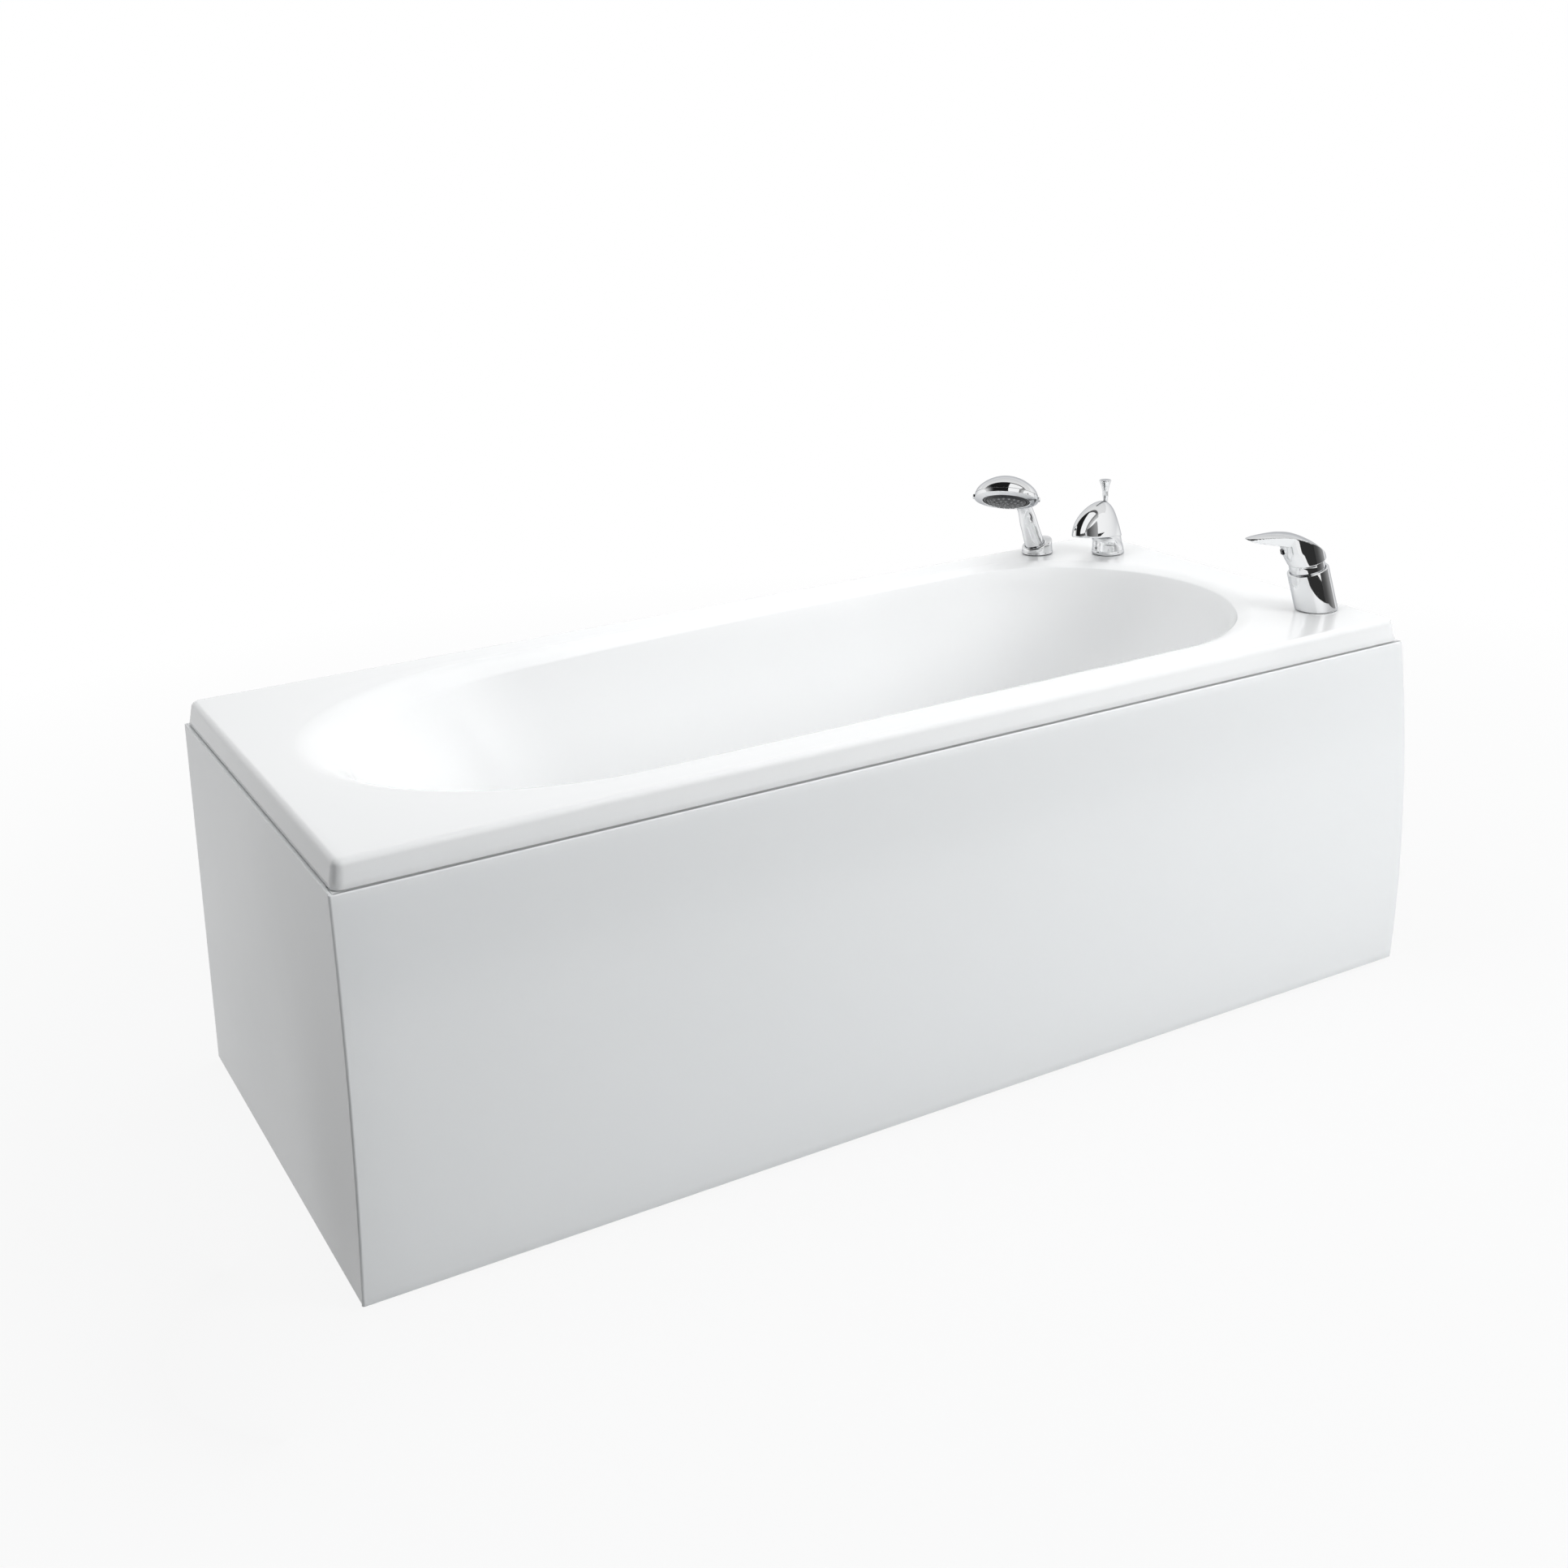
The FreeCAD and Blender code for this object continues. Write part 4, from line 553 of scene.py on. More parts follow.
def makeTub():
    rows, backs = tubGrid()
    stack = [[frameSpot(*spot) for spot in row] for row in list(reversed(backs)) + rows]
    shell = ringStack("tubShell", stack)
    shell.data.materials.append(finishes["acrylic"])
    shell.data.materials.append(finishes["resin"])
    behind = {tuple(round(c, 5) for c in spot) for row in stack[:len(backs)] for spot in row}
    marks = [tuple(round(c, 5) for c in v.co) in behind for v in shell.data.vertices]
    for face in shell.data.polygons:
        if all(marks[i] for i in face.vertices):
            face.material_index = 1
    cutters = [drill(tub["deckHole"], -30, 20, placeAt(x, y, tub["top"]), 48) for x, y in tub["deckHoles"].values()]
    cutters.append(drill(tub["wasteHole"], -20, 20, placeAt(tub["wasteX"], 0.0, tub["floor"]), 64))
    cutters.append(drill(tub["overflowHole"], -25, 25, overflowPlace, 64))
    return softShade(cutBy(shell, cutters), 38.0)


dress(makeTub(), "tub", "white_acrylic", None, "tub_shell")
print("tub shell made")

# panels
panel = {"left": -805.0, "right": 800.0, "top": 505.6, "low": 4.0, "sheet": 4.0, "flange": 24.0, "edge": 1.6,
         "cornerEdge": 3.4, "proud": 4.0, "bulge": 13.99, "bulgeAt": 290.0, "tuck": 7.0, "flangeFrom": -799.7,
         "joint": 0.3, "back": 350.0, "endFace": (-804.0, -800.0), "endEdge": 0.0008, "hole": 2.6, "holeX": -788.0,
         "holeHeights": (130.0, 380.0)}


def bowCircle():
    # circle through the front panel's top, bulge and foot
    side = -tub["halfWide"]
    y1, z1 = side - panel["proud"], panel["top"]
    y2, z2 = side - panel["bulge"], panel["bulgeAt"]
    y3, z3 = side + panel["tuck"], panel["low"]
    d = 2 * (y1 * (z2 - z3) + y2 * (z3 - z1) + y3 * (z1 - z2))
    s1, s2, s3 = y1 * y1 + z1 * z1, y2 * y2 + z2 * z2, y3 * y3 + z3 * z3
    yc = (s1 * (z2 - z3) + s2 * (z3 - z1) + s3 * (z1 - z2)) / d
    zc = (s1 * (y3 - y2) + s2 * (y1 - y3) + s3 * (y2 - y1)) / d
    return yc, zc, math.hypot(y1 - yc, z1 - zc)


def bowY(z, inset=0.0):
    yc, zc, radius = bowCircle()
    return yc - math.sqrt((radius - inset) ** 2 - (z - zc) ** 2)


def strip(name, line, xs):
    # closed (y, z) line carried along x
    rings = [[frameSpot(x, y, z) for y, z in line] for x in xs]
    return ringStack(name, rings)


def bar(y0, y1, z0, z1, xs):
    return strip("flange", [(y0, z0), (y1, z0), (y1, z1), (y0, z1)], xs)


def frontPanel():
    top, low, thick, edge, corner = panel["top"], panel["low"], panel["sheet"], panel["edge"], panel["cornerEdge"]
    steps, count = 48, 24
    turns = [math.pi / 2 * step / 6 for step in range(7)]
    outer = []
    for turn in turns[:-1]:   # rounded top edge
        outer.append((bowY(top) + edge * (1 - math.sin(turn)), top - edge * (1 - math.cos(turn))))
    for step in range(steps + 1):
        z = top - edge - (top - low - 2 * edge) * step / steps
        outer.append((bowY(z), z))
    for turn in turns[1:]:   # rounded foot
        outer.append((bowY(low) + edge * (1 - math.cos(turn)), low + edge * (1 - math.sin(turn))))
    inner = []
    for step in range(steps + 1):
        z = low + (top - low) * step / steps
        inner.append((bowY(z, thick), z))
    xs = [panel["left"] + (panel["right"] - panel["left"]) * k / count for k in range(count + 1)]
    rings = []
    for turn in turns:   # rounded upright edge at the corner
        x, inset = xs[0] + corner * (1 - math.cos(turn)), corner * (1 - math.sin(turn))
        rings.append([frameSpot(x, max(min(y + inset, bowY(z, thick) - 0.2), y), z) for y, z in outer]
                     + [frameSpot(x, y, z) for y, z in inner])
    for x in xs[1:-1] + [xs[-1] - 0.6, xs[-1]]:
        rings.append([frameSpot(x, y, z) for y, z in outer + inner])
    parts = [ringStack("skin", rings)]
    for z0, z1 in ((top - thick, top), (low, low + thick)):
        y0, y1 = bowY((z0 + z1) / 2) + thick * 0.6, bowY(z1 if z1 == top else z0) + panel["flange"]
        parts.append(bar(y0, y1, z0, z1, [panel["flangeFrom"], panel["right"]]))
    return softShade(joinPieces("frontPanel", parts), 32.0)


def endPanel():
    top, low, thick, back, flange = panel["top"], panel["low"], panel["sheet"], panel["back"], panel["flange"]
    steps = 40
    line = []
    for step in range(steps + 1):
        z = top + (low - top) * step / steps
        line.append((bowY(z, thick + panel["joint"]), z))
    line += [(back, low), (back, top)]
    x0, x1 = panel["endFace"]
    face = strip("face", line, [x0, x1])
    soft = face.modifiers.new("edge", "BEVEL")
    soft.width, soft.segments, soft.limit_method = panel["endEdge"], 2, "ANGLE"
    parts = [baked(face)]
    start, foot = bowY(top) + flange + thick, bowY(low) + flange + thick
    for y0, y1, z0, z1 in ((start, back, top - thick, top), (foot, back, low, low + thick),
                           (back - thick, back, low + thick, top - thick)):
        parts.append(bar(y0, y1, z0, z1, [x1 - 1.0, x1 + flange]))
    for z in panel["holeHeights"]:   # screw holes of the wall flange
        across = Matrix.Translation(frameSpot(panel["holeX"], back, z)) @ spun(90.0, "X") @ Matrix.Scale(mm, 4)
        cutBy(parts[-1], [drill(panel["hole"], -20, 20, across, 24)])
    return softShade(joinPieces("endPanel", parts), 10.0)


dress(frontPanel(), "tub", "white_acrylic", finishes["panel"], "front_panel")
dress(endPanel(), "tub", "white_acrylic", finishes["panel"], "end_panel")
print("panels made")

# mixer
mixer = {"facing": 162.0, "lean": 13.0, "body": 31.0, "bodyLow": 20.0, "bodyTop": 64.5, "bodyEdge": 2.2,
         "recess": 26.9, "recessLow": 52.0, "recessIn": 12.0, "collar": 26.5, "collarLow": 56.0, "collarWall": 2.0,
         "collarOpen": 16.5, "pivot": 71.0, "hub": 30.0, "hubLow": 77.0, "hubEnd": -29.97, "cavity": 27.6,
         "tip": 85.0, "tipRadius": 13.0, "tipEnd": 84.95, "neckLow": 27.0, "neckHigh": 33.0, "neckTall": 99.0,
         "neckEnd": 32.9, "crown": 3.6, "crownWide": 12.0, "least": 0.02, "undercut": 0.36,
         "ridge": ((85.0, 141.0), (72.0, 140.4), (56.0, 138.0), (42.0, 135.2), (28.0, 131.5), (8.0, 123.0),
                   (-11.0, 108.5), (-24.0, 93.0), (-30.0, 81.0)),
         "under": ((85.0, 139.6), (78.0, 134.6), (72.0, 130.6), (56.0, 123.8), (44.0, 118.6), (33.0, 114.0),
                   (16.0, 108.0), (0.0, 104.0)),
         "voxel": 0.62}
mixerPlace = placeAt(*tub["deckHoles"]["mixer"], tub["top"], mixer["facing"], mixer["lean"])


def mixerBody():
    sinL, cosL = math.sin(math.radians(mixer["lean"])), math.cos(math.radians(mixer["lean"]))
    r, top, count = mixer["body"], mixer["bodyTop"], 120
    line = roundedLine([(r, mixer["bodyLow"], 0), (r, top, mixer["bodyEdge"]), (mixer["recess"], top, 0.8),
                        (mixer["recess"], mixer["recessLow"], 0.5), (mixer["recessIn"], mixer["recessLow"], 0)])
    rings = []
    for r1, low in ((r - 0.8, 1.0), (r, 1.8)):   # foot of the leaning body, level with the deck
        rings.append(slantRing(mixerPlace, r1, lambda x: (low + x * sinL) / cosL, count))
    rings += [ovalRing(mixerPlace, 0.0, r1, r1, z, count) for r1, z in line]
    return softShade(ringStack("mixerBody", rings), 30.0)


def mixerCollar():
    pivot, low, steps = mixer["pivot"], mixer["collarLow"], 16

    def arc(radius):
        reach = math.acos(mixer["collarOpen"] / radius)
        return [(radius * math.cos(reach * k / steps), pivot + radius * math.sin(reach * k / steps))
                for k in range(steps + 1)]

    outer, inner = mixer["collar"], mixer["collar"] - mixer["collarWall"]
    line = [(outer, low)] + arc(outer) + arc(inner)[::-1] + [(inner, low)]
    return softShade(lathe("mixerCollar", line, mixerPlace, closed=True), 30.0)


def curveAt(knots, x):
    # smooth line through (x, z) knots
    knots = sorted(knots)
    slopes = []
    for i in range(len(knots)):
        j, k = max(i - 1, 0), min(i + 1, len(knots) - 1)
        slopes.append((knots[k][1] - knots[j][1]) / (knots[k][0] - knots[j][0]))
    for i in range(len(knots) - 1):
        (x0, z0), (x1, z1) = knots[i], knots[i + 1]
        if x <= x1 or i == len(knots) - 2:
            t = min(max((x - x0) / (x1 - x0), 0.0), 1.0)
            d = x1 - x0
            return (z0 * (1 + 2 * t) * (1 - t) ** 2 + slopes[i] * d * t * (1 - t) ** 2
                    + z1 * t * t * (3 - 2 * t) + slopes[i + 1] * d * t * t * (t - 1))


def armHalf(x):
    hub, tip = mixer["hub"], mixer["tipRadius"]
    far = mixer["tip"] - tip
    lean = math.acos((hub - tip) / far)
    near, last = hub * math.cos(lean), far + tip * math.cos(lean)
    if x <= near:
        return math.sqrt(max(hub * hub - x * x, 0.0))
    if x >= last:
        return math.sqrt(max(tip * tip - (x - far) ** 2, 0.0))
    return (hub - x * math.cos(lean)) / math.sin(lean)


def neckHalf(x, z):
    hub = mixer["hub"]
    if x <= 0:
        return math.sqrt(max(hub * hub - x * x, 0.0))
    share = min(max((z - mixer["hubLow"]) / (mixer["neckTall"] - mixer["hubLow"]), 0.0), 1.0)
    front = mixer["neckLow"] + (mixer["neckHigh"] - mixer["neckLow"]) * share
    return hub * math.sqrt(max(1 - (x / front) ** 2, 0.0))


def leverSection(x, low, halfAt, count=15):
    # loop of (y, z) at one station: flat foot, side following halfAt, crowned top
    ridge = curveAt(mixer["ridge"], x)
    wide = max(halfAt(ridge), mixer["least"])
    fall = mixer["crown"] * min(1.0, wide / mixer["crownWide"])
    sideTop = max(ridge - fall, low + 0.05)
    right = []
    for k in range(count + 1):
        z = low + (sideTop - low) * k / count
        right.append((max(halfAt(z), mixer["least"]), z))
    top = []
    for k in range(1, count):
        y = wide * math.cos(math.pi * k / count)
        top.append((y, sideTop + (ridge - sideTop) * (1 - (y / wide) ** 2)))
    left = [(-y, z) for y, z in reversed(right)]
    return right + top + left


def neckFloor(x):
    # flat under the hub, rising steeply under the front of the neck
    share = max(x - mixer["neckLow"], 0.0) / (mixer["neckHigh"] - mixer["neckLow"])
    return mixer["hubLow"] + share * (mixer["neckTall"] - mixer["hubLow"])


def armSide(x, z):
    return armHalf(x) - mixer["undercut"] * (curveAt(mixer["ridge"], x) - z)


def leverPart(name, xs, lowAt, halfAt):
    rings = []
    for x in xs:
        loop = leverSection(x, lowAt(x), lambda z: halfAt(x, z))
        rings.append([Vector((x, y, z)) for y, z in loop])
    return ringStack(name, rings)


def mixerLever():
    hub, neck, tip = mixer["hub"], mixer["neckHigh"], mixer["tipRadius"]
    hubXs = [mixer["hubEnd"]] + [-hub * math.cos(math.pi * k / 60) for k in range(1, 31)]
    hubXs += [neck * math.sin(math.pi / 2 * k / 24) for k in range(1, 24)] + [mixer["neckEnd"]]
    armXs = [2.0 * k for k in range(37)]
    armXs += [mixer["tip"] - tip + tip * math.sin(math.pi / 2 * k / 12) for k in range(1, 12)] + [mixer["tipEnd"]]
    piece = joinPieces("mixerLever", [leverPart("hub", hubXs, neckFloor, neckHalf),
                                      leverPart("arm", armXs, lambda x: curveAt(mixer["under"], x), armSide)])
    fuse = piece.modifiers.new("fuse", "REMESH")
    fuse.mode, fuse.voxel_size, fuse.use_smooth_shade = "VOXEL", mixer["voxel"], True
    ease = piece.modifiers.new("ease", "SMOOTH")
    ease.factor, ease.iterations = 0.5, 9
    baked(piece)
    line = []
    for k in range(49):   # ball-shaped hollow over the collar
        turn = math.pi * k / 48
        line.append((mixer["cavity"] * math.sin(turn), mixer["pivot"] - mixer["cavity"] * math.cos(turn)))
    cutBy(piece, [lathe("cut", line, Matrix.Identity(4))])
    piece.data.transform(mixerPlace)
    return softShade(piece, 30.0)


dressChrome((mixerBody, "tub", "mixer_body"), (mixerCollar, "tub", "mixer_collar"),
            (mixerLever, "mixer_lever", "mixer_lever"))
print("mixer made")

# spout with its pull knob
spout = {"facing": 200.0, "foot": 26.9, "reach": 100.0, "back": 22.6, "slope": 0.15, "half": 25.5, "hoodLow": 47.0,
         "hoodTop": 94.0, "apex": 22.0, "power": 2.0, "slim": 2.1, "lipInset": 0.9,
         "column": ((7.4, 26.3), (12.0, 26.0), (17.0, 25.6), (22.0, 25.0), (27.0, 24.4), (33.0, 23.4), (47.0, 22.0)),
         "ogive": 22.8, "ogiveRise": 1.1, "ogiveRound": 0.62, "blend": 3.0,
         "cove": ((20.0, 0.0), (16.0, 0.0), (12.0, 0.0), (8.0, 0.015), (5.0, 0.05), (3.0, 0.11), (1.6, 0.22),
                  (0.7, 0.42), (0.2, 0.7), (0.0, 0.97)),
         "gussetTall": 20.0, "gussetPower": 1.5, "gussetFrom": 60.0, "gussetTo": 105.0, "bore": 4.3, "knobX": 6.0,
         "knobLow": 97.0, "stem": ((0, 26), (9, 26), (9, 30), (4, 30), (4, 97.0)),
         "knob": ((5.0, 9.3), (5.35, 13.0), (5.9, 16.4), (6.7, 20.0), (7.7, 23.6), (8.9, 26.8), (9.75, 28.6),
                  (10.0, 29.4), (9.75, 30.2), (9.0, 30.7), (7.0, 31.0), (0, 31.0)),
         "outletX": 70.0, "outletHalfX": 21.0, "outletHalfY": 14.0, "outletDeep": 15.0}
spoutPlace = placeAt(*tub["deckHoles"]["spout"], tub["top"], spout["facing"])
knobPlace = spoutPlace @ Matrix.Translation((spout["knobX"], 0, 0))


def hoodOutline(turn, rise, shrink=0.0):
    # oval of the hood joined softly with the round column
    size = (1 - rise ** spout["power"]) ** (1 / spout["power"])
    slim = (1 - rise ** spout["slim"]) ** (1 / spout["slim"])
    front = spout["apex"] + (spout["reach"] - spout["apex"]) * size
    back = spout["apex"] - (spout["back"] + spout["apex"]) * slim
    middle = spout["apex"] * (1 - slim)
    x = (front + back) / 2 + ((front - back) / 2 - shrink) * math.cos(turn) - middle
    y = (spout["half"] * slim - shrink) * math.sin(turn)
    wide = math.hypot(x, y)
    least = spout["ogive"] * (1 - rise ** spout["ogiveRise"]) ** spout["ogiveRound"] - shrink
    full = (wide + least + math.hypot(wide - least, spout["blend"] * (1 - rise))) / 2
    return middle + x * full / wide, y * full / wide


def lipZ(x):
    # lower edge of the hood falls from its tip to the column
    return spout["hoodLow"] - spout["slope"] * (spout["reach"] - x)


def hoodRing(rise, shrink=0.0, lift=0.0, count=96):
    ring = []
    for k in range(count):
        x, y = hoodOutline(2 * math.pi * k / count, rise, shrink)
        ring.append(spoutPlace @ Vector((x, y, lipZ(x) + (spout["hoodTop"] - lipZ(x)) * rise + lift)))
    return ring


def coveRing(below, crisp, count=96):
    # ring parallel to the lip, from the column towards the hood; sides and back run straight into the hood
    slack = (1 - below / spout["gussetTall"]) ** spout["gussetPower"]
    ring = []
    for k in range(count):
        turn = 2 * math.pi * k / count
        aside = math.degrees(math.acos(math.cos(turn)))
        ease = min(max((aside - spout["gussetFrom"]) / (spout["gussetTo"] - spout["gussetFrom"]), 0.0), 1.0)
        ease = ease * ease * (3 - 2 * ease)
        share = crisp + max(slack - crisp, 0.0) * ease
        radius = spout["column"][-1][1]
        for step in range(4):
            radius = curveAt(spout["column"], lipZ(radius * math.cos(turn)) - below)
        farX, farY = hoodOutline(turn, 0.0, spout["lipInset"])
        x = radius * math.cos(turn) * (1 - share) + farX * share
        y = radius * math.sin(turn) * (1 - share) + farY * share
        ring.append(spoutPlace @ Vector((x, y, lipZ(x) - below)))
    return ring


def spoutBody():
    low, foot = spout["hoodLow"], spout["foot"]
    line = ((24.5, 1.0), (foot - 0.5, 1.2), (foot, 2.0), (foot, 5.2), (foot - 0.9, 6.2), (foot - 0.9, 6.9),
            (foot - 0.6, 7.4))
    rings = [ovalRing(spoutPlace, 0.0, r, r, z) for r, z in line]
    rings += [coveRing(below, crisp) for below, crisp in spout["cove"]]
    for shrink, lift in ((spout["lipInset"], 0.1), (0.35, 0.4), (0.0, 1.2)):   # rounded lip
        rings.append(hoodRing(0.0, shrink, lift))
    rings += [hoodRing(math.sin(math.pi / 2 * k / 60)) for k in range(2, 60)]
    rings.append(ovalRing(spoutPlace, spout["apex"], 0.3, 0.3, spout["hoodTop"]))
    piece = ringStack("spoutBody", rings)
    outlet = (spout["outletX"], spout["outletHalfX"], spout["outletHalfY"])
    mouth = ringStack("cut", [ovalRing(spoutPlace, *outlet, z, 64) for z in (low - 25.0, low + spout["outletDeep"])])
    return softShade(cutBy(piece, [mouth, drill(spout["bore"], 60, 110, knobPlace, 48)]), 32.0)


def pullKnob():
    low = spout["knobLow"]
    line = list(spout["stem"]) + [(4.5 + 0.1 * k, low + 1.0 * k) for k in range(1, 6)]
    line += [(r, low + up) for r, up in spout["knob"]]
    return softShade(lathe("pullKnob", line, knobPlace, 72), 40.0)


dressChrome((spoutBody, "tub", "spout_body"), (pullKnob, "diverter", "diverter"))
print("spout made")

# hand shower
shower = {"facing": 180.0, "lean": 17.0, "turn": 31.0, "holder": 26.0, "holderIn": 0.7, "holderTall": 18.0,
          "holderEdge": 3.0, "holderWaist": 5.0, "seatLow": 8.2, "seatNarrow": 12.3, "seatWide": 16.8, "bore": 8.0,
          "handleLow": 8.5, "handleFoot": 12.0, "handleWide": 16.5, "handleMid": 15.1, "handleSlim": 12.5,
          "shoulder": 17.3, "gripLow": 18.0, "gripMid": 53.0, "bendX": 0.6, "straight": 88.0, "headOut": 53.0,
          "headUp": 130.0, "tilt": 42.5, "head": 53.0, "dome": 37.0, "domeSide": 25.0, "domeLow": 4.0, "face": 39.0,
          "ringLow": -6.0, "endIn": 26.5, "endUp": 16.65, "lugs": 24.0, "lugHalf": 6.0, "lugOut": 5.4,
          "lugRound": 2.4, "lugRoot": 2.4,
          "spray": ((0, -12.4), (8.0, -12.2), (15.0, -11.5), (21.0, -10.4), (27.0, -8.8), (30.0, -7.8), (30.8, -7.0),
                    (31.2, -5.6), (35.6, -4.6), (36.2, -5.2), (37.2, -5.0), (37.8, -4.0), (38.6, -3.6),
                    (39.0, -3.0), (39.0, 2.0), (0, 2.0))}
showerSpot = (*tub["deckHoles"]["shower"], tub["top"], shower["facing"])
holderPlace = placeAt(*showerSpot, shower["lean"])
handsetPlace = placeAt(*showerSpot, shower["lean"], shower["turn"])
headPlace = handsetPlace @ Matrix.Translation((shower["headOut"], 0, shower["headUp"])) @ spun(-shower["tilt"], "Y")


def showerHolder():
    # upright base, its top square to the leaning handle
    lean, count, upright = math.radians(shower["lean"]), 108, placeAt(*showerSpot)
    tall, edge, waist = shower["holderTall"], shower["holderEdge"], shower["holderWaist"]
    r, r1 = shower["holder"], shower["holder"] - shower["holderIn"]

    def topZ(x):   # leaning top plane over the upright drawing
        return (tall - x * math.sin(lean)) / math.cos(lean)

    foot = ((r - 1.0, 1.0), (r, 1.6), (r, 3.4), (r1, 4.0), (r1, waist))
    rings = [ovalRing(upright, 0.0, radius, radius, z, count) for radius, z in foot]
    for share in (0.35, 0.7, 1.0):
        rings.append(slantRing(upright, r1, lambda x: waist + (topZ(x) - edge - waist) * share, count))
    for step in range(1, 7):
        turn = math.pi / 2 * step / 6
        down = edge * (1 - math.sin(turn))
        rings.append(slantRing(upright, r1 - edge * (1 - math.cos(turn)), lambda x: topZ(x) - down, count))
    seat = ((19.2, tall), (shower["seatWide"] + 0.6, tall - 0.2), (shower["seatWide"], tall - 0.9),
            (shower["seatNarrow"], shower["seatLow"]), (shower["bore"], shower["seatLow"]), (shower["bore"], 3.0))
    rings += [ovalRing(holderPlace, 0.0, radius, radius, z, count) for radius, z in seat]
    return softShade(ringStack("showerHolder", rings), 32.0)


def handleBar():
    tilt, endIn, endUp = math.radians(shower["tilt"]), shower["endIn"], shower["endUp"]
    low, foot, wide, slim = shower["handleLow"], shower["handleFoot"], shower["handleWide"], shower["handleSlim"]
    end = Vector((shower["headOut"] - endIn * math.cos(tilt) - endUp * math.sin(tilt), 0,
                  shower["headUp"] - endIn * math.sin(tilt) + endUp * math.cos(tilt)))
    knots = [Vector((0, 0, shower["gripLow"])), Vector((0, 0, shower["gripMid"])),
             Vector((shower["bendX"], 0, shower["straight"])), end]
    sizes = [wide, shower["handleMid"], slim, slim]
    spots, radii = [], []
    for i in range(3):
        a, b = knots[i], knots[i + 1]
        before, after = knots[max(i - 1, 0)], knots[min(i + 2, 3)]
        for k in range(16):
            t = k / 16
            t2, t3 = t * t, t * t * t
            spots.append(((2 * a) + (b - before) * t + (2 * before - 5 * a + 4 * b - after) * t2
                          + (3 * a - before - 3 * b + after) * t3) / 2)
            radii.append(sizes[i] + (sizes[i + 1] - sizes[i]) * (t2 * (3 - 2 * t)))
    spots.append(end)
    radii.append(sizes[-1])
    line = ((shower["bore"], low), (foot - 0.5, low), (foot, low + 0.5), (wide - 0.4, shower["shoulder"]))
    rings = [ovalRing(handsetPlace, 0.0, r, r, z, 72) for r, z in line]
    side = Vector((0, 1, 0))
    turns = [2 * math.pi * k / 72 for k in range(72)]
    for i, (spot, r) in enumerate(zip(spots, radii)):
        way = (spots[min(i + 1, len(spots) - 1)] - spots[max(i - 1, 0)]).normalized()
        front = side.cross(way).normalized()
        rings.append([handsetPlace @ (spot + front * (r * math.cos(turn)) + side * (r * math.sin(turn)))
                      for turn in turns])
    return ringStack("handle", rings)


def domeCap():
    head, dome, side, low = shower["head"], shower["dome"], shower["domeSide"], shower["domeLow"]
    centre = head - side
    crown = (head ** 2 - 2 * head * side + dome ** 2) / (2 * (dome - side))
    drop = crown - dome
    first, meet = math.asin(low / side), math.atan2(drop, centre)
    line = [(46.0, 12.0), (48.5, low + 0.4), (52.0, low + 0.05)]
    for k in range(21):
        turn = first + (meet - first) * k / 20
        line.append((centre + side * math.cos(turn), side * math.sin(turn)))
    for k in range(1, 24):
        turn = meet + (math.pi / 2 - meet) * k / 24
        line.append((crown * math.cos(turn), crown * math.sin(turn) - drop))
    line += [(0, dome), (0, dome - 3.0), (30.0, 25.0), (44.0, 14.0)]   # crown, then back along the inside
    return lathe("dome", line, headPlace, 120, closed=True)


def handset():
    return softShade(joinPieces("showerHandset", [handleBar(), domeCap()]), 30.0)


def selectorRing():
    r, low, top, inner = shower["head"], shower["ringLow"], shower["domeLow"] - 0.3, shower["face"]
    half, out, soft = shower["lugHalf"], shower["lugOut"], shower["lugRound"]
    line = roundedLine([(inner + 0.1, top, 0), (inner + 0.1, low + 0.6, 0.5), (inner + 1.6, low, 0.8),
                        (r, low + 2.8, 0.8), (r, top, 0.6), (r - 3.0, top, 0)])
    parts = [lathe("ring", line, headPlace, 120, closed=True)]
    loop = roundedLine([(-half, 0.0, 0), (-half, out, soft), (half, out, soft), (half, 0.0, 0)], 5)
    for way in (0.0, 180.0):
        turned = headPlace @ spun(way + shower["lugs"], "Z")
        rings = []
        for z, shrink in ((top - 6.0, 0.8), (top - 5.2, 0.0), (top - 0.8, 0.0), (top - 0.1, 0.7)):
            root = r - shower["lugRoot"]
            rings.append([turned @ Vector((x * (1 - shrink / half), root + y * (1 - shrink / out), z))
                          for x, y in loop])
        parts.append(ringStack("lug", rings))
    return softShade(joinPieces("selectorRing", parts), 35.0)


def sprayFace():
    return softShade(lathe("sprayFace", shower["spray"], headPlace), 45.0)


# repeated details by geometry nodes
def nodeTree(name, **inputs):
    # returns the tree with the identifiers of its inputs
    tree = bpy.data.node_groups.new(name, "GeometryNodeTree")
    addSockets(tree, "OUTPUT", {"Geometry": "Geometry"})
    return tree, addSockets(tree, "INPUT", inputs)


def paintCopies(tree, into, copies):
    # plain mesh of the copies, in the finish asked for
    out, solid, paint = addNodes(tree, "NodeGroupOutput", "GeometryNodeRealizeInstances", "GeometryNodeSetMaterial")
    wire(tree, (copies, "Instances", solid, "Geometry"), (solid, "Geometry", paint, "Geometry"),
         (into, "Finish", paint, "Material"), (paint, "Geometry", out, "Geometry"))


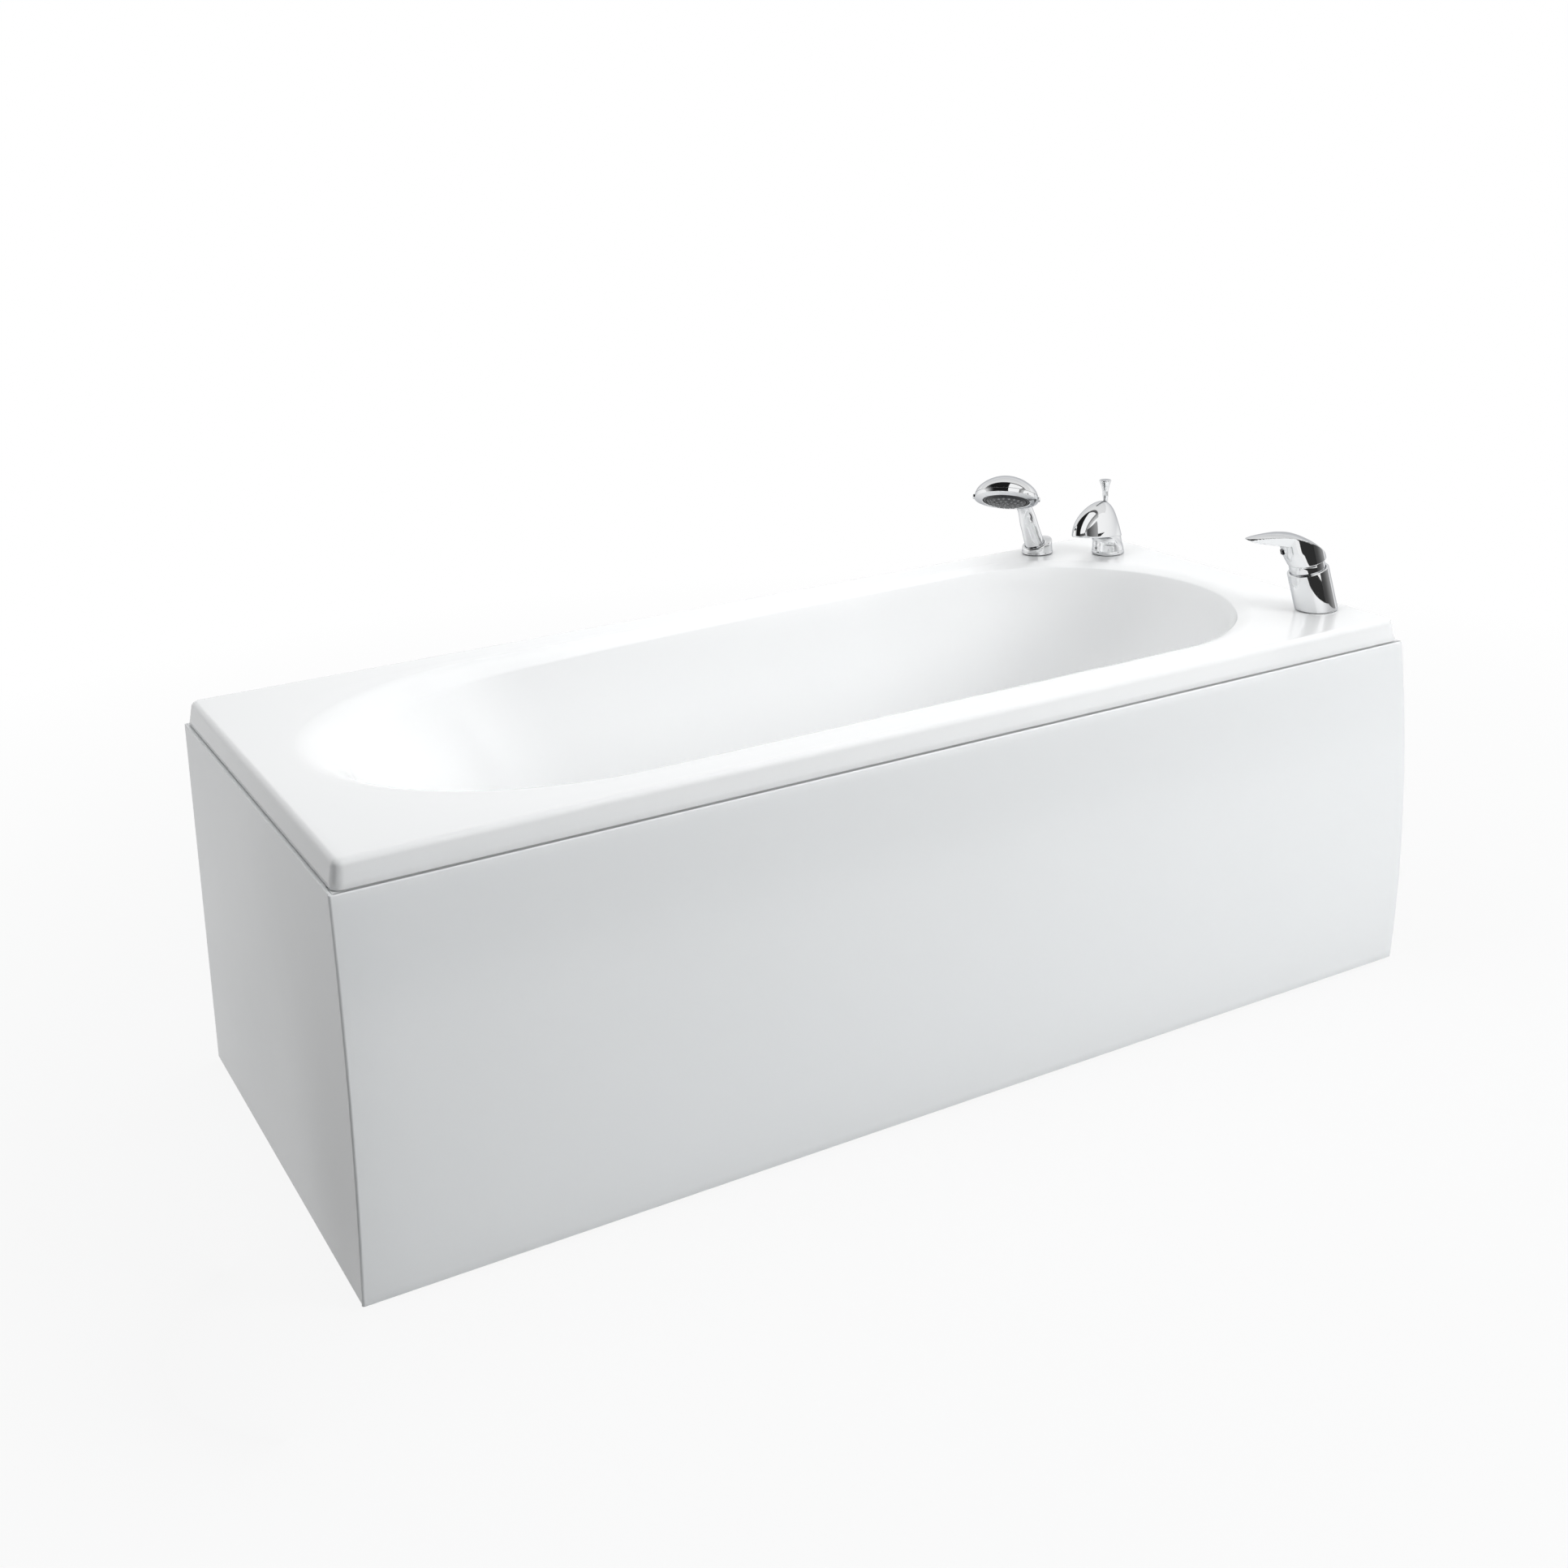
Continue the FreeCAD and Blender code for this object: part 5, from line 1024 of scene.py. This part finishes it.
def nozzleTree():
    # tips standing on a circle
    tree, sockets = nodeTree("nozzleRow", Count="Int", Circle="Float", Height="Float", Tip="Float", Root="Float",
                             Tall="Float", Finish="Material")
    into, circle, tip, rows, lift, offset = addNodes(
        tree, "NodeGroupInput", "GeometryNodeMeshCircle", "GeometryNodeMeshCone", "GeometryNodeInstanceOnPoints",
        "GeometryNodeSetPosition", "ShaderNodeCombineXYZ")
    fill(tip, Vertices=12)
    wire(tree, (into, "Count", circle, "Vertices"), (into, "Circle", circle, "Radius"),
         (into, "Tip", tip, "Radius Bottom"), (into, "Root", tip, "Radius Top"), (into, "Tall", tip, "Depth"),
         (into, "Height", offset, "Z"), (circle, "Mesh", lift, "Geometry"), (offset, "Vector", lift, "Offset"),
         (lift, "Geometry", rows, "Points"), (tip, "Mesh", rows, "Instance"))
    paintCopies(tree, into, rows)
    return tree, sockets


def threadTree():
    # ridges up a stud
    tree, sockets = nodeTree("threadRidges", Turns="Int", Pitch="Float", Radius="Float", Ridge="Float",
                             Finish="Material")
    into, line, ring, bead, sweep, pitch, copies = addNodes(
        tree, "NodeGroupInput", "GeometryNodeMeshLine", "GeometryNodeCurvePrimitiveCircle",
        "GeometryNodeCurvePrimitiveCircle", "GeometryNodeCurveToMesh", "ShaderNodeCombineXYZ",
        "GeometryNodeInstanceOnPoints")
    fill(ring, Resolution=32)
    fill(bead, Resolution=6)
    wire(tree, (into, "Turns", line, "Count"), (into, "Pitch", pitch, "Z"), (pitch, "Vector", line, "Offset"),
         (into, "Radius", ring, "Radius"), (into, "Ridge", bead, "Radius"), (ring, "Curve", sweep, "Curve"),
         (bead, "Curve", sweep, "Profile Curve"), (line, "Mesh", copies, "Points"),
         (sweep, "Mesh", copies, "Instance"))
    paintCopies(tree, into, copies)
    return tree, sockets


def grown(name, kit, values, place):
    # runs one tree and leaves its plain mesh
    tree, sockets = kit
    piece = addMesh(name, [], [])
    step = piece.modifiers.new("grow", "NODES")
    step.node_group = tree
    for label, value in values.items():
        step[sockets[label]] = value
    baked(piece)
    piece.data.transform(place)
    return piece


# rows are count, circle, height, tip, root and tall
nozzles = {"labels": ("Count", "Circle", "Height", "Tip", "Root", "Tall"),
           "teeth": ((54, 33.6, -5.6, 0.9, 1.3, 2.4),),
           "tips": ((20, 27.6, -9.6, 1.7, 2.7, 2.8), (14, 19.8, -11.8, 1.8, 2.8, 2.9),
                    (8, 11.6, -13.0, 1.8, 2.8, 2.8), (3, 4.2, -13.5, 1.6, 2.3, 2.4)),
           "kit": nozzleTree()}


def nozzleRows(name, rows, finish):
    made = []
    for row in rows:
        values = dict(zip(nozzles["labels"], row), Finish=finish)
        made.append(grown("row", nozzles["kit"], values, headPlace))
    return softShade(joinPieces(name, made), 40.0)


dressChrome((showerHolder, "tub", "shower_holder"), (handset, "hand_shower", "shower_handset"),
            (selectorRing, "spray_selector", "selector_ring"))
dress(sprayFace(), "spray_selector", "grey_plastic", finishes["sprayGrey"], "spray_face")
for name, rows, finish in (("sprayTeeth", nozzles["teeth"], finishes["rubber"]),
                           ("sprayNozzles", nozzles["tips"], finishes["nozzle"])):
    dress(nozzleRows(name, rows, finish), "spray_selector", "grey_plastic", finish)
print("hand shower made")

feet = {"spots": {"head_front_foot": (-260.0, -235.0), "head_back_foot": (-260.0, 235.0),
                  "tap_front_foot": (310.0, -235.0), "tap_back_foot": (310.0, 235.0)},
        "threadLow": 17.0, "kit": threadTree(),
        "thread": {"Turns": 48, "Pitch": 0.00175, "Radius": 0.0060, "Ridge": 0.0006, "Finish": finishes["foot"]}}
for footName, (x, y) in feet["spots"].items():
    ridges = grown(footName + "_thread", feet["kit"], feet["thread"],
                   Matrix.Translation(frameSpot(x, y, feet["threadLow"])))
    dress(softShade(ridges, 60.0), footName, "foot_plastic", finishes["foot"])
print("threads made")

# waste and overflow trim in the basin
waste = {"flange": 36.0, "thick": 2.5, "bore": 22.5, "tube": 25.5, "tubeLow": 113.0, "hub": 9.0, "hubBore": 5.06,
         "ribFrom": 8.5, "ribTo": 23.0, "ribHalf": 2.0, "ribTop": 118.0, "plugLow": 142.8, "plug": 30.0,
         "plugThick": 5.0, "stem": 5.0, "stemLow": 108.0}
overflow = {"tube": 22.5, "tubeLow": -12.0, "flange": 35.0, "thick": 3.5, "bore": 19.0, "knob": 35.0, "knobLow": 9.5,
            "knobTop": 23.5, "stem": 5.0, "stemLow": -48.7, "gripHalf": 24.5, "gripDraw": 5.0, "gripTall": 6.0,
            "grip": ((-2.5, 0.8), (-1.7, 0.0), (1.7, 0.0), (2.5, 0.8))}
wastePlace = placeAt(tub["wasteX"], 0.0, 0.0)


def wasteFlange():
    floor, top, low, bore = tub["floor"], tub["floor"] + waste["thick"], waste["tubeLow"], waste["bore"]
    line = roundedLine([(waste["tube"], low, 0), (waste["tube"], floor, 0.2), (waste["flange"], floor, 0.3),
                        (waste["flange"] - 1.2, top, 1.2), (bore + 5.0, top, 1.0), (bore, top - 1.6, 1.5),
                        (bore, low, 0)])
    parts = [lathe("flange", line, wastePlace, closed=True)]
    half, ribTop, hub, hubBore = waste["ribHalf"], waste["ribTop"], waste["hub"], waste["hubBore"]
    section = ((-half, low), (half, low), (half, ribTop), (-half, ribTop))
    for turn in (0.0, 90.0):
        turned = wastePlace @ spun(turn, "Z")
        for way in (-1, 1):
            parts.append(ringStack("rib", [[turned @ Vector((way * x, y, z)) for y, z in section]
                                           for x in (waste["ribFrom"], waste["ribTo"])]))
    parts.append(lathe("hub", [(hubBore, low), (hub, low), (hub, ribTop), (hubBore, ribTop)], wastePlace, 48, True))
    return softShade(joinPieces("wasteFlange", parts), 35.0)


def popUpPlug():
    low, top, stem, plug = waste["plugLow"], waste["plugLow"] + waste["plugThick"], waste["stem"], waste["plug"]
    line = roundedLine([(0, waste["stemLow"], 0), (stem, waste["stemLow"], 0.8), (stem, low, 0.8), (plug, low, 0.5),
                        (plug, low + 2.2, 1.0), (18.0, top, 14.0), (6.0, top + 0.4, 4.0), (0, top + 0.5, 0)], 8)
    return softShade(lathe("popUpPlug", line, wastePlace), 35.0)


def overflowFlange():
    tube, low, rim, top, bore = (overflow[key] for key in ("tube", "tubeLow", "flange", "thick", "bore"))
    line = roundedLine([(tube, low, 0), (tube, 0.0, 0.2), (rim, 0.0, 0.3), (rim - 1.0, top, 1.4), (bore, top, 0.8),
                        (bore, low, 0)])
    return softShade(lathe("overflowFlange", line, overflowPlace, closed=True), 35.0)


def overflowKnob():
    low, top, r, stem, stemLow = (overflow[key] for key in ("knobLow", "knobTop", "knob", "stem", "stemLow"))
    half, draw, tall = overflow["gripHalf"], overflow["gripDraw"], overflow["gripTall"]
    line = roundedLine([(0, stemLow, 0), (stem, stemLow, 0.6), (stem, low, 0.8), (r - 3.0, low, 2.0),
                        (r, low + 3.0, 2.0), (r, top - 4.0, 3.0), (r - 4.0, top, 3.0), (0, top, 0)], 8)
    body = lathe("knob", line, overflowPlace, 108)
    loop = roundedLine([(-half, 0.0, 0), (-half, draw, 2.0), (half, draw, 2.0), (half, 0.0, 0)], 5)
    rings = []
    for y, shrink in overflow["grip"]:
        rings.append([overflowPlace @ Vector((x * (1 - shrink / half), y,
                                              top - 1.0 + z * tall / draw * (1 - shrink / tall))) for x, z in loop])
    return softShade(joinPieces("overflowKnob", [body, ringStack("grip", rings)]), 35.0)


dressChrome((wasteFlange, "tub", "waste_flange"), (popUpPlug, "plug", "pop_up_plug"),
            (overflowFlange, "tub", "overflow_flange"), (overflowKnob, "overflow_knob", "overflow_knob"))
print("waste trim made")

# finishes of the pieces kept from the frame
slotFinish = {"white_acrylic": "acrylic", "batten_wood": "wood", "zinc_steel": "zinc", "white_plastic": "plastic",
              "black_rubber": "rubber", "brass": "brass", "chrome": "chrome", "grey_plastic": "sprayGrey",
              "black_plastic": "black", "foot_plastic": "foot"}
for part in frame["record"]["subparts"]:
    finish = finishes[slotFinish[part["material_slot"]]]
    mesh = nodes[part["node"]].data
    if mesh.materials:
        for index in range(len(mesh.materials)):
            mesh.materials[index] = finish
    else:
        mesh.materials.append(finish)
print("frame pieces finished")

# stage, light and camera
stage = {"floorSize": 240.0, "floorColor": (0.62, 0.63, 0.635), "glow": 0.90, "near": 1.1, "far": 2.6,
         "skyLeft": 0.40, "skyRight": 0.68}


def directRays(tree):
    # one for rays from the camera, off metal or through glass, else zero
    path, seen, sees = addNodes(tree, "ShaderNodeLightPath", "ShaderNodeMath", "ShaderNodeMath")
    seen.operation = sees.operation = "MAXIMUM"
    wire(tree, (path, "Is Camera Ray", seen, 0), (path, "Is Glossy Ray", seen, 1), (seen, 0, sees, 0),
         (path, "Is Transmission Ray", sees, 1))
    return sees


def floorPaint():
    # shadow stays around the tub, plain white further out
    paint, tree, shader = newPaint("paleFloor")
    glow, mix, part, spot, away, reach = addNodes(
        tree, "ShaderNodeEmission", "ShaderNodeMixShader", "ShaderNodeMath", "ShaderNodeTexCoord",
        "ShaderNodeVectorMath", "ShaderNodeMapRange")
    part.operation, away.operation = "MULTIPLY", "LENGTH"
    fill(shader, Base_Color=(*stage["floorColor"], 1), Roughness=0.7, Specular_IOR_Level=0.1)
    fill(reach, From_Min=stage["near"], From_Max=stage["far"], To_Min=stage["glow"], To_Max=1.0)
    wire(tree, (spot, "Object", away, 0), (away, "Value", reach, "Value"), (directRays(tree), 0, part, 0),
         (reach, "Result", part, 1), (part, 0, mix, "Fac"), (shader, "BSDF", mix, 1), (glow, "Emission", mix, 2),
         (mix, "Shader", tree.nodes["Material Output"], "Surface"))
    return paint


def makeFloor():
    half = stage["floorSize"] / 2
    floor = addMesh("floor", [(-half, -half, 0), (half, -half, 0), (half, half, 0), (-half, half, 0)], [(0, 1, 2, 3)])
    floor.data.materials.append(floorPaint())


def makeSky():
    # white to direct rays, else a light that grows from left to right
    world = bpy.data.worlds.new("studio")
    scene.world = world
    world.use_nodes = True
    tree = world.node_tree
    white = tree.nodes["Background"]
    light, mix, way, axis, slope = addNodes(tree, "ShaderNodeBackground", "ShaderNodeMixShader", "ShaderNodeTexCoord",
                                            "ShaderNodeSeparateXYZ", "ShaderNodeMapRange")
    fill(white, Color=(1, 1, 1, 1), Strength=1.0)
    fill(light, Color=(0.97, 0.99, 1.0, 1))
    fill(slope, From_Min=-1.0, To_Min=stage["skyLeft"], To_Max=stage["skyRight"])
    wire(tree, (way, "Generated", axis, "Vector"), (axis, "X", slope, "Value"), (slope, "Result", light, "Strength"),
         (directRays(tree), 0, mix, "Fac"), (light, "Background", mix, 1), (white, "Background", mix, 2),
         (mix, "Shader", tree.nodes["World Output"], "Surface"))


def softBox(name, spot, aim, wide, tall, power, spread=180.0):
    lamp = bpy.data.lights.new(name, "AREA")
    lamp.shape = "RECTANGLE"
    lamp.size, lamp.size_y, lamp.energy, lamp.spread = wide, tall, power, math.radians(spread)
    box = bpy.data.objects.new(name, lamp)
    scene.collection.objects.link(box)
    box.location = spot
    box.rotation_mode = "QUATERNION"
    box.rotation_quaternion = (Vector(aim) - Vector(spot)).to_track_quat("-Z", "Y")
    box.visible_glossy = False   # metal mirrors the cards instead


def card(name, verts, faces, tone, farTone, way, fade, seenBy):
    # card that one kind of ray sees, polished metal or scattered light; its tone may change along a way
    piece = addMesh(name, verts, faces)
    paint, tree, shader = newPaint(name)
    spot, along, change, shade = addNodes(tree, "ShaderNodeTexCoord", "ShaderNodeVectorMath", "ShaderNodeMapRange",
                                          "ShaderNodeCombineColor")
    along.operation, change.interpolation_type = "DOT_PRODUCT", "SMOOTHSTEP"
    along.inputs[1].default_value = way
    fill(shader, Base_Color=(0.0, 0.0, 0.0, 1), Specular_IOR_Level=0.0, Emission_Strength=1.0)
    fill(change, From_Min=fade[0], From_Max=fade[1], To_Min=tone, To_Max=farTone)
    wire(tree, (spot, "Object", along, 0), (along, "Value", change, "Value"), (change, "Result", shade, "Red"),
         (change, "Result", shade, "Green"), (change, "Result", shade, "Blue"),
         (shade, "Color", shader, "Emission Color"))
    piece.data.materials.append(paint)
    piece.visible_camera = piece.visible_shadow = piece.visible_transmission = False
    piece.visible_glossy, piece.visible_diffuse = seenBy == "metal", seenBy == "scatter"


def ribbon(steps):
    return [(2 * k, 2 * k + 1, 2 * k + 3, 2 * k + 2) for k in range(steps)]


def bentCard(name, middle, radius, fromWay, toWay, low, high, tone, farTone, way, fade, seenBy):
    # upright card bent round a middle
    steps = 24
    verts = []
    for k in range(steps + 1):
        turn = math.radians(fromWay + (toWay - fromWay) * k / steps)
        x, y = middle[0] + radius * math.cos(turn), middle[1] + radius * math.sin(turn)
        verts += [(x, y, low), (x, y, high)]
    card(name, verts, ribbon(steps), tone, farTone, way, fade, seenBy)


def flag(name, middle, radius, fromWay, toWay, high):
    # black card on the floor that only takes scattered light
    bentCard(name, middle, radius, fromWay, toWay, 0.0, high, 0.0, 0.0, (0, 0, 1), (0.0, 1.0), "scatter")


def flatCard(name, fromX, toX, fromY, toY, z, tone):
    verts = [(fromX, fromY, z), (toX, fromY, z), (toX, toY, z), (fromX, toY, z)]
    card(name, verts, [(0, 1, 2, 3)], tone, tone, (0, 0, 1), (0.0, 1.0), "metal")


arches = {"middle": (0.70, 0.05, 0.62), "front": (-0.656, -0.755), "side": (0.755, -0.656)}


def archCard(name, radius, fromSide, toSide, fromTilt, toTilt, tone, farTone, fade):
    # card arching from the camera's side over the taps, fade measured sideways from their middle
    steps = 32
    middle, front, side = arches["middle"], arches["front"], arches["side"]
    verts = []
    for k in range(steps + 1):
        tilt = math.radians(fromTilt + (toTilt - fromTilt) * k / steps)
        out, up = radius * math.cos(tilt), radius * math.sin(tilt)
        for off in (fromSide, toSide):
            verts.append((middle[0] + front[0] * out + side[0] * off, middle[1] + front[1] * out + side[1] * off,
                          middle[2] + up))
    base = middle[0] * side[0] + middle[1] * side[1]
    card(name, verts, ribbon(steps), tone, farTone, (side[0], side[1], 0), (base + fade[0], base + fade[1]), "metal")


makeFloor()
makeSky()
# spot, aim, width, height, power, spread
softBox("keyLight", (2.2, -3.0, 2.0), (0.3, -0.2, 0.35), 1.6, 1.6, 68.0)
softBox("topLight", (0.0, 0.3, 3.1), (0.1, 0.0, 0.4), 2.4, 1.6, 25.0)
softBox("basinLight", (-1.5, 0.0, 2.7), (0.5, 0.12, 0.3), 0.6, 0.6, 0.75, 40.0)
# radius, sides, tilts, near and far tone, fade
archCard("darkArch", 4.5, -11.0, 0.6, -6.0, 112.0, 0.65, 0.012, (-10.0, -3.6))
archCard("windowArch", 4.4, 0.6, 4.8, 10.0, 104.0, 1.0, 1.0, (0.0, 1.0))
archCard("rightArch", 4.45, 0.6, 9.0, -6.0, 112.0, 0.10, 0.55, (4.0, 8.0))
archCard("backArch", 4.5, -7.0, 7.0, 112.0, 150.0, 0.82, 0.82, (0.0, 1.0))
flatCard("darkFloor", -2.0, 4.5, -4.6, -1.3, 0.004, 0.03)
# middle, radius, bearings, heights
bentCard("mixerSide", (0.74, -0.23), 0.6, 290.0, 352.0, 0.3, 0.9, 0.06, 0.35, (0, 1, 0), (-0.8, -0.3), "metal")
flag("behindFlag", (-0.3, 0.0), 4.0, 203.0, 250.0, 4.0)
flag("cornerFlag", (-0.82, -0.34), 0.2, 120.0, 235.0, 0.24)
flag("leftFlag", (-0.8, -0.2), 0.75, 150.0, 235.0, 0.42)

camera = {"spot": (-1.30671, -2.32958, 1.3535), "right": (0.87231637, -0.48730233, -0.04000744),
          "up": (0.12675366, 0.14635447, 0.98107792), "back": (-0.47222629, -0.86088141, 0.18943475),
          "lens": 44.734, "shiftY": -0.2101}
lens = bpy.data.cameras.new("camera")
lens.sensor_width = 36.0
lens.lens = camera["lens"]
lens.shift_y = camera["shiftY"]
lens.clip_end = 100.0
eye = bpy.data.objects.new("camera", lens)
scene.collection.objects.link(eye)
turn = Matrix((camera["right"], camera["up"], camera["back"])).transposed().to_4x4()
eye.matrix_world = Matrix.Translation(camera["spot"]) @ turn
scene.camera = eye
scene.view_settings.view_transform = "Standard"
print("stage ready")
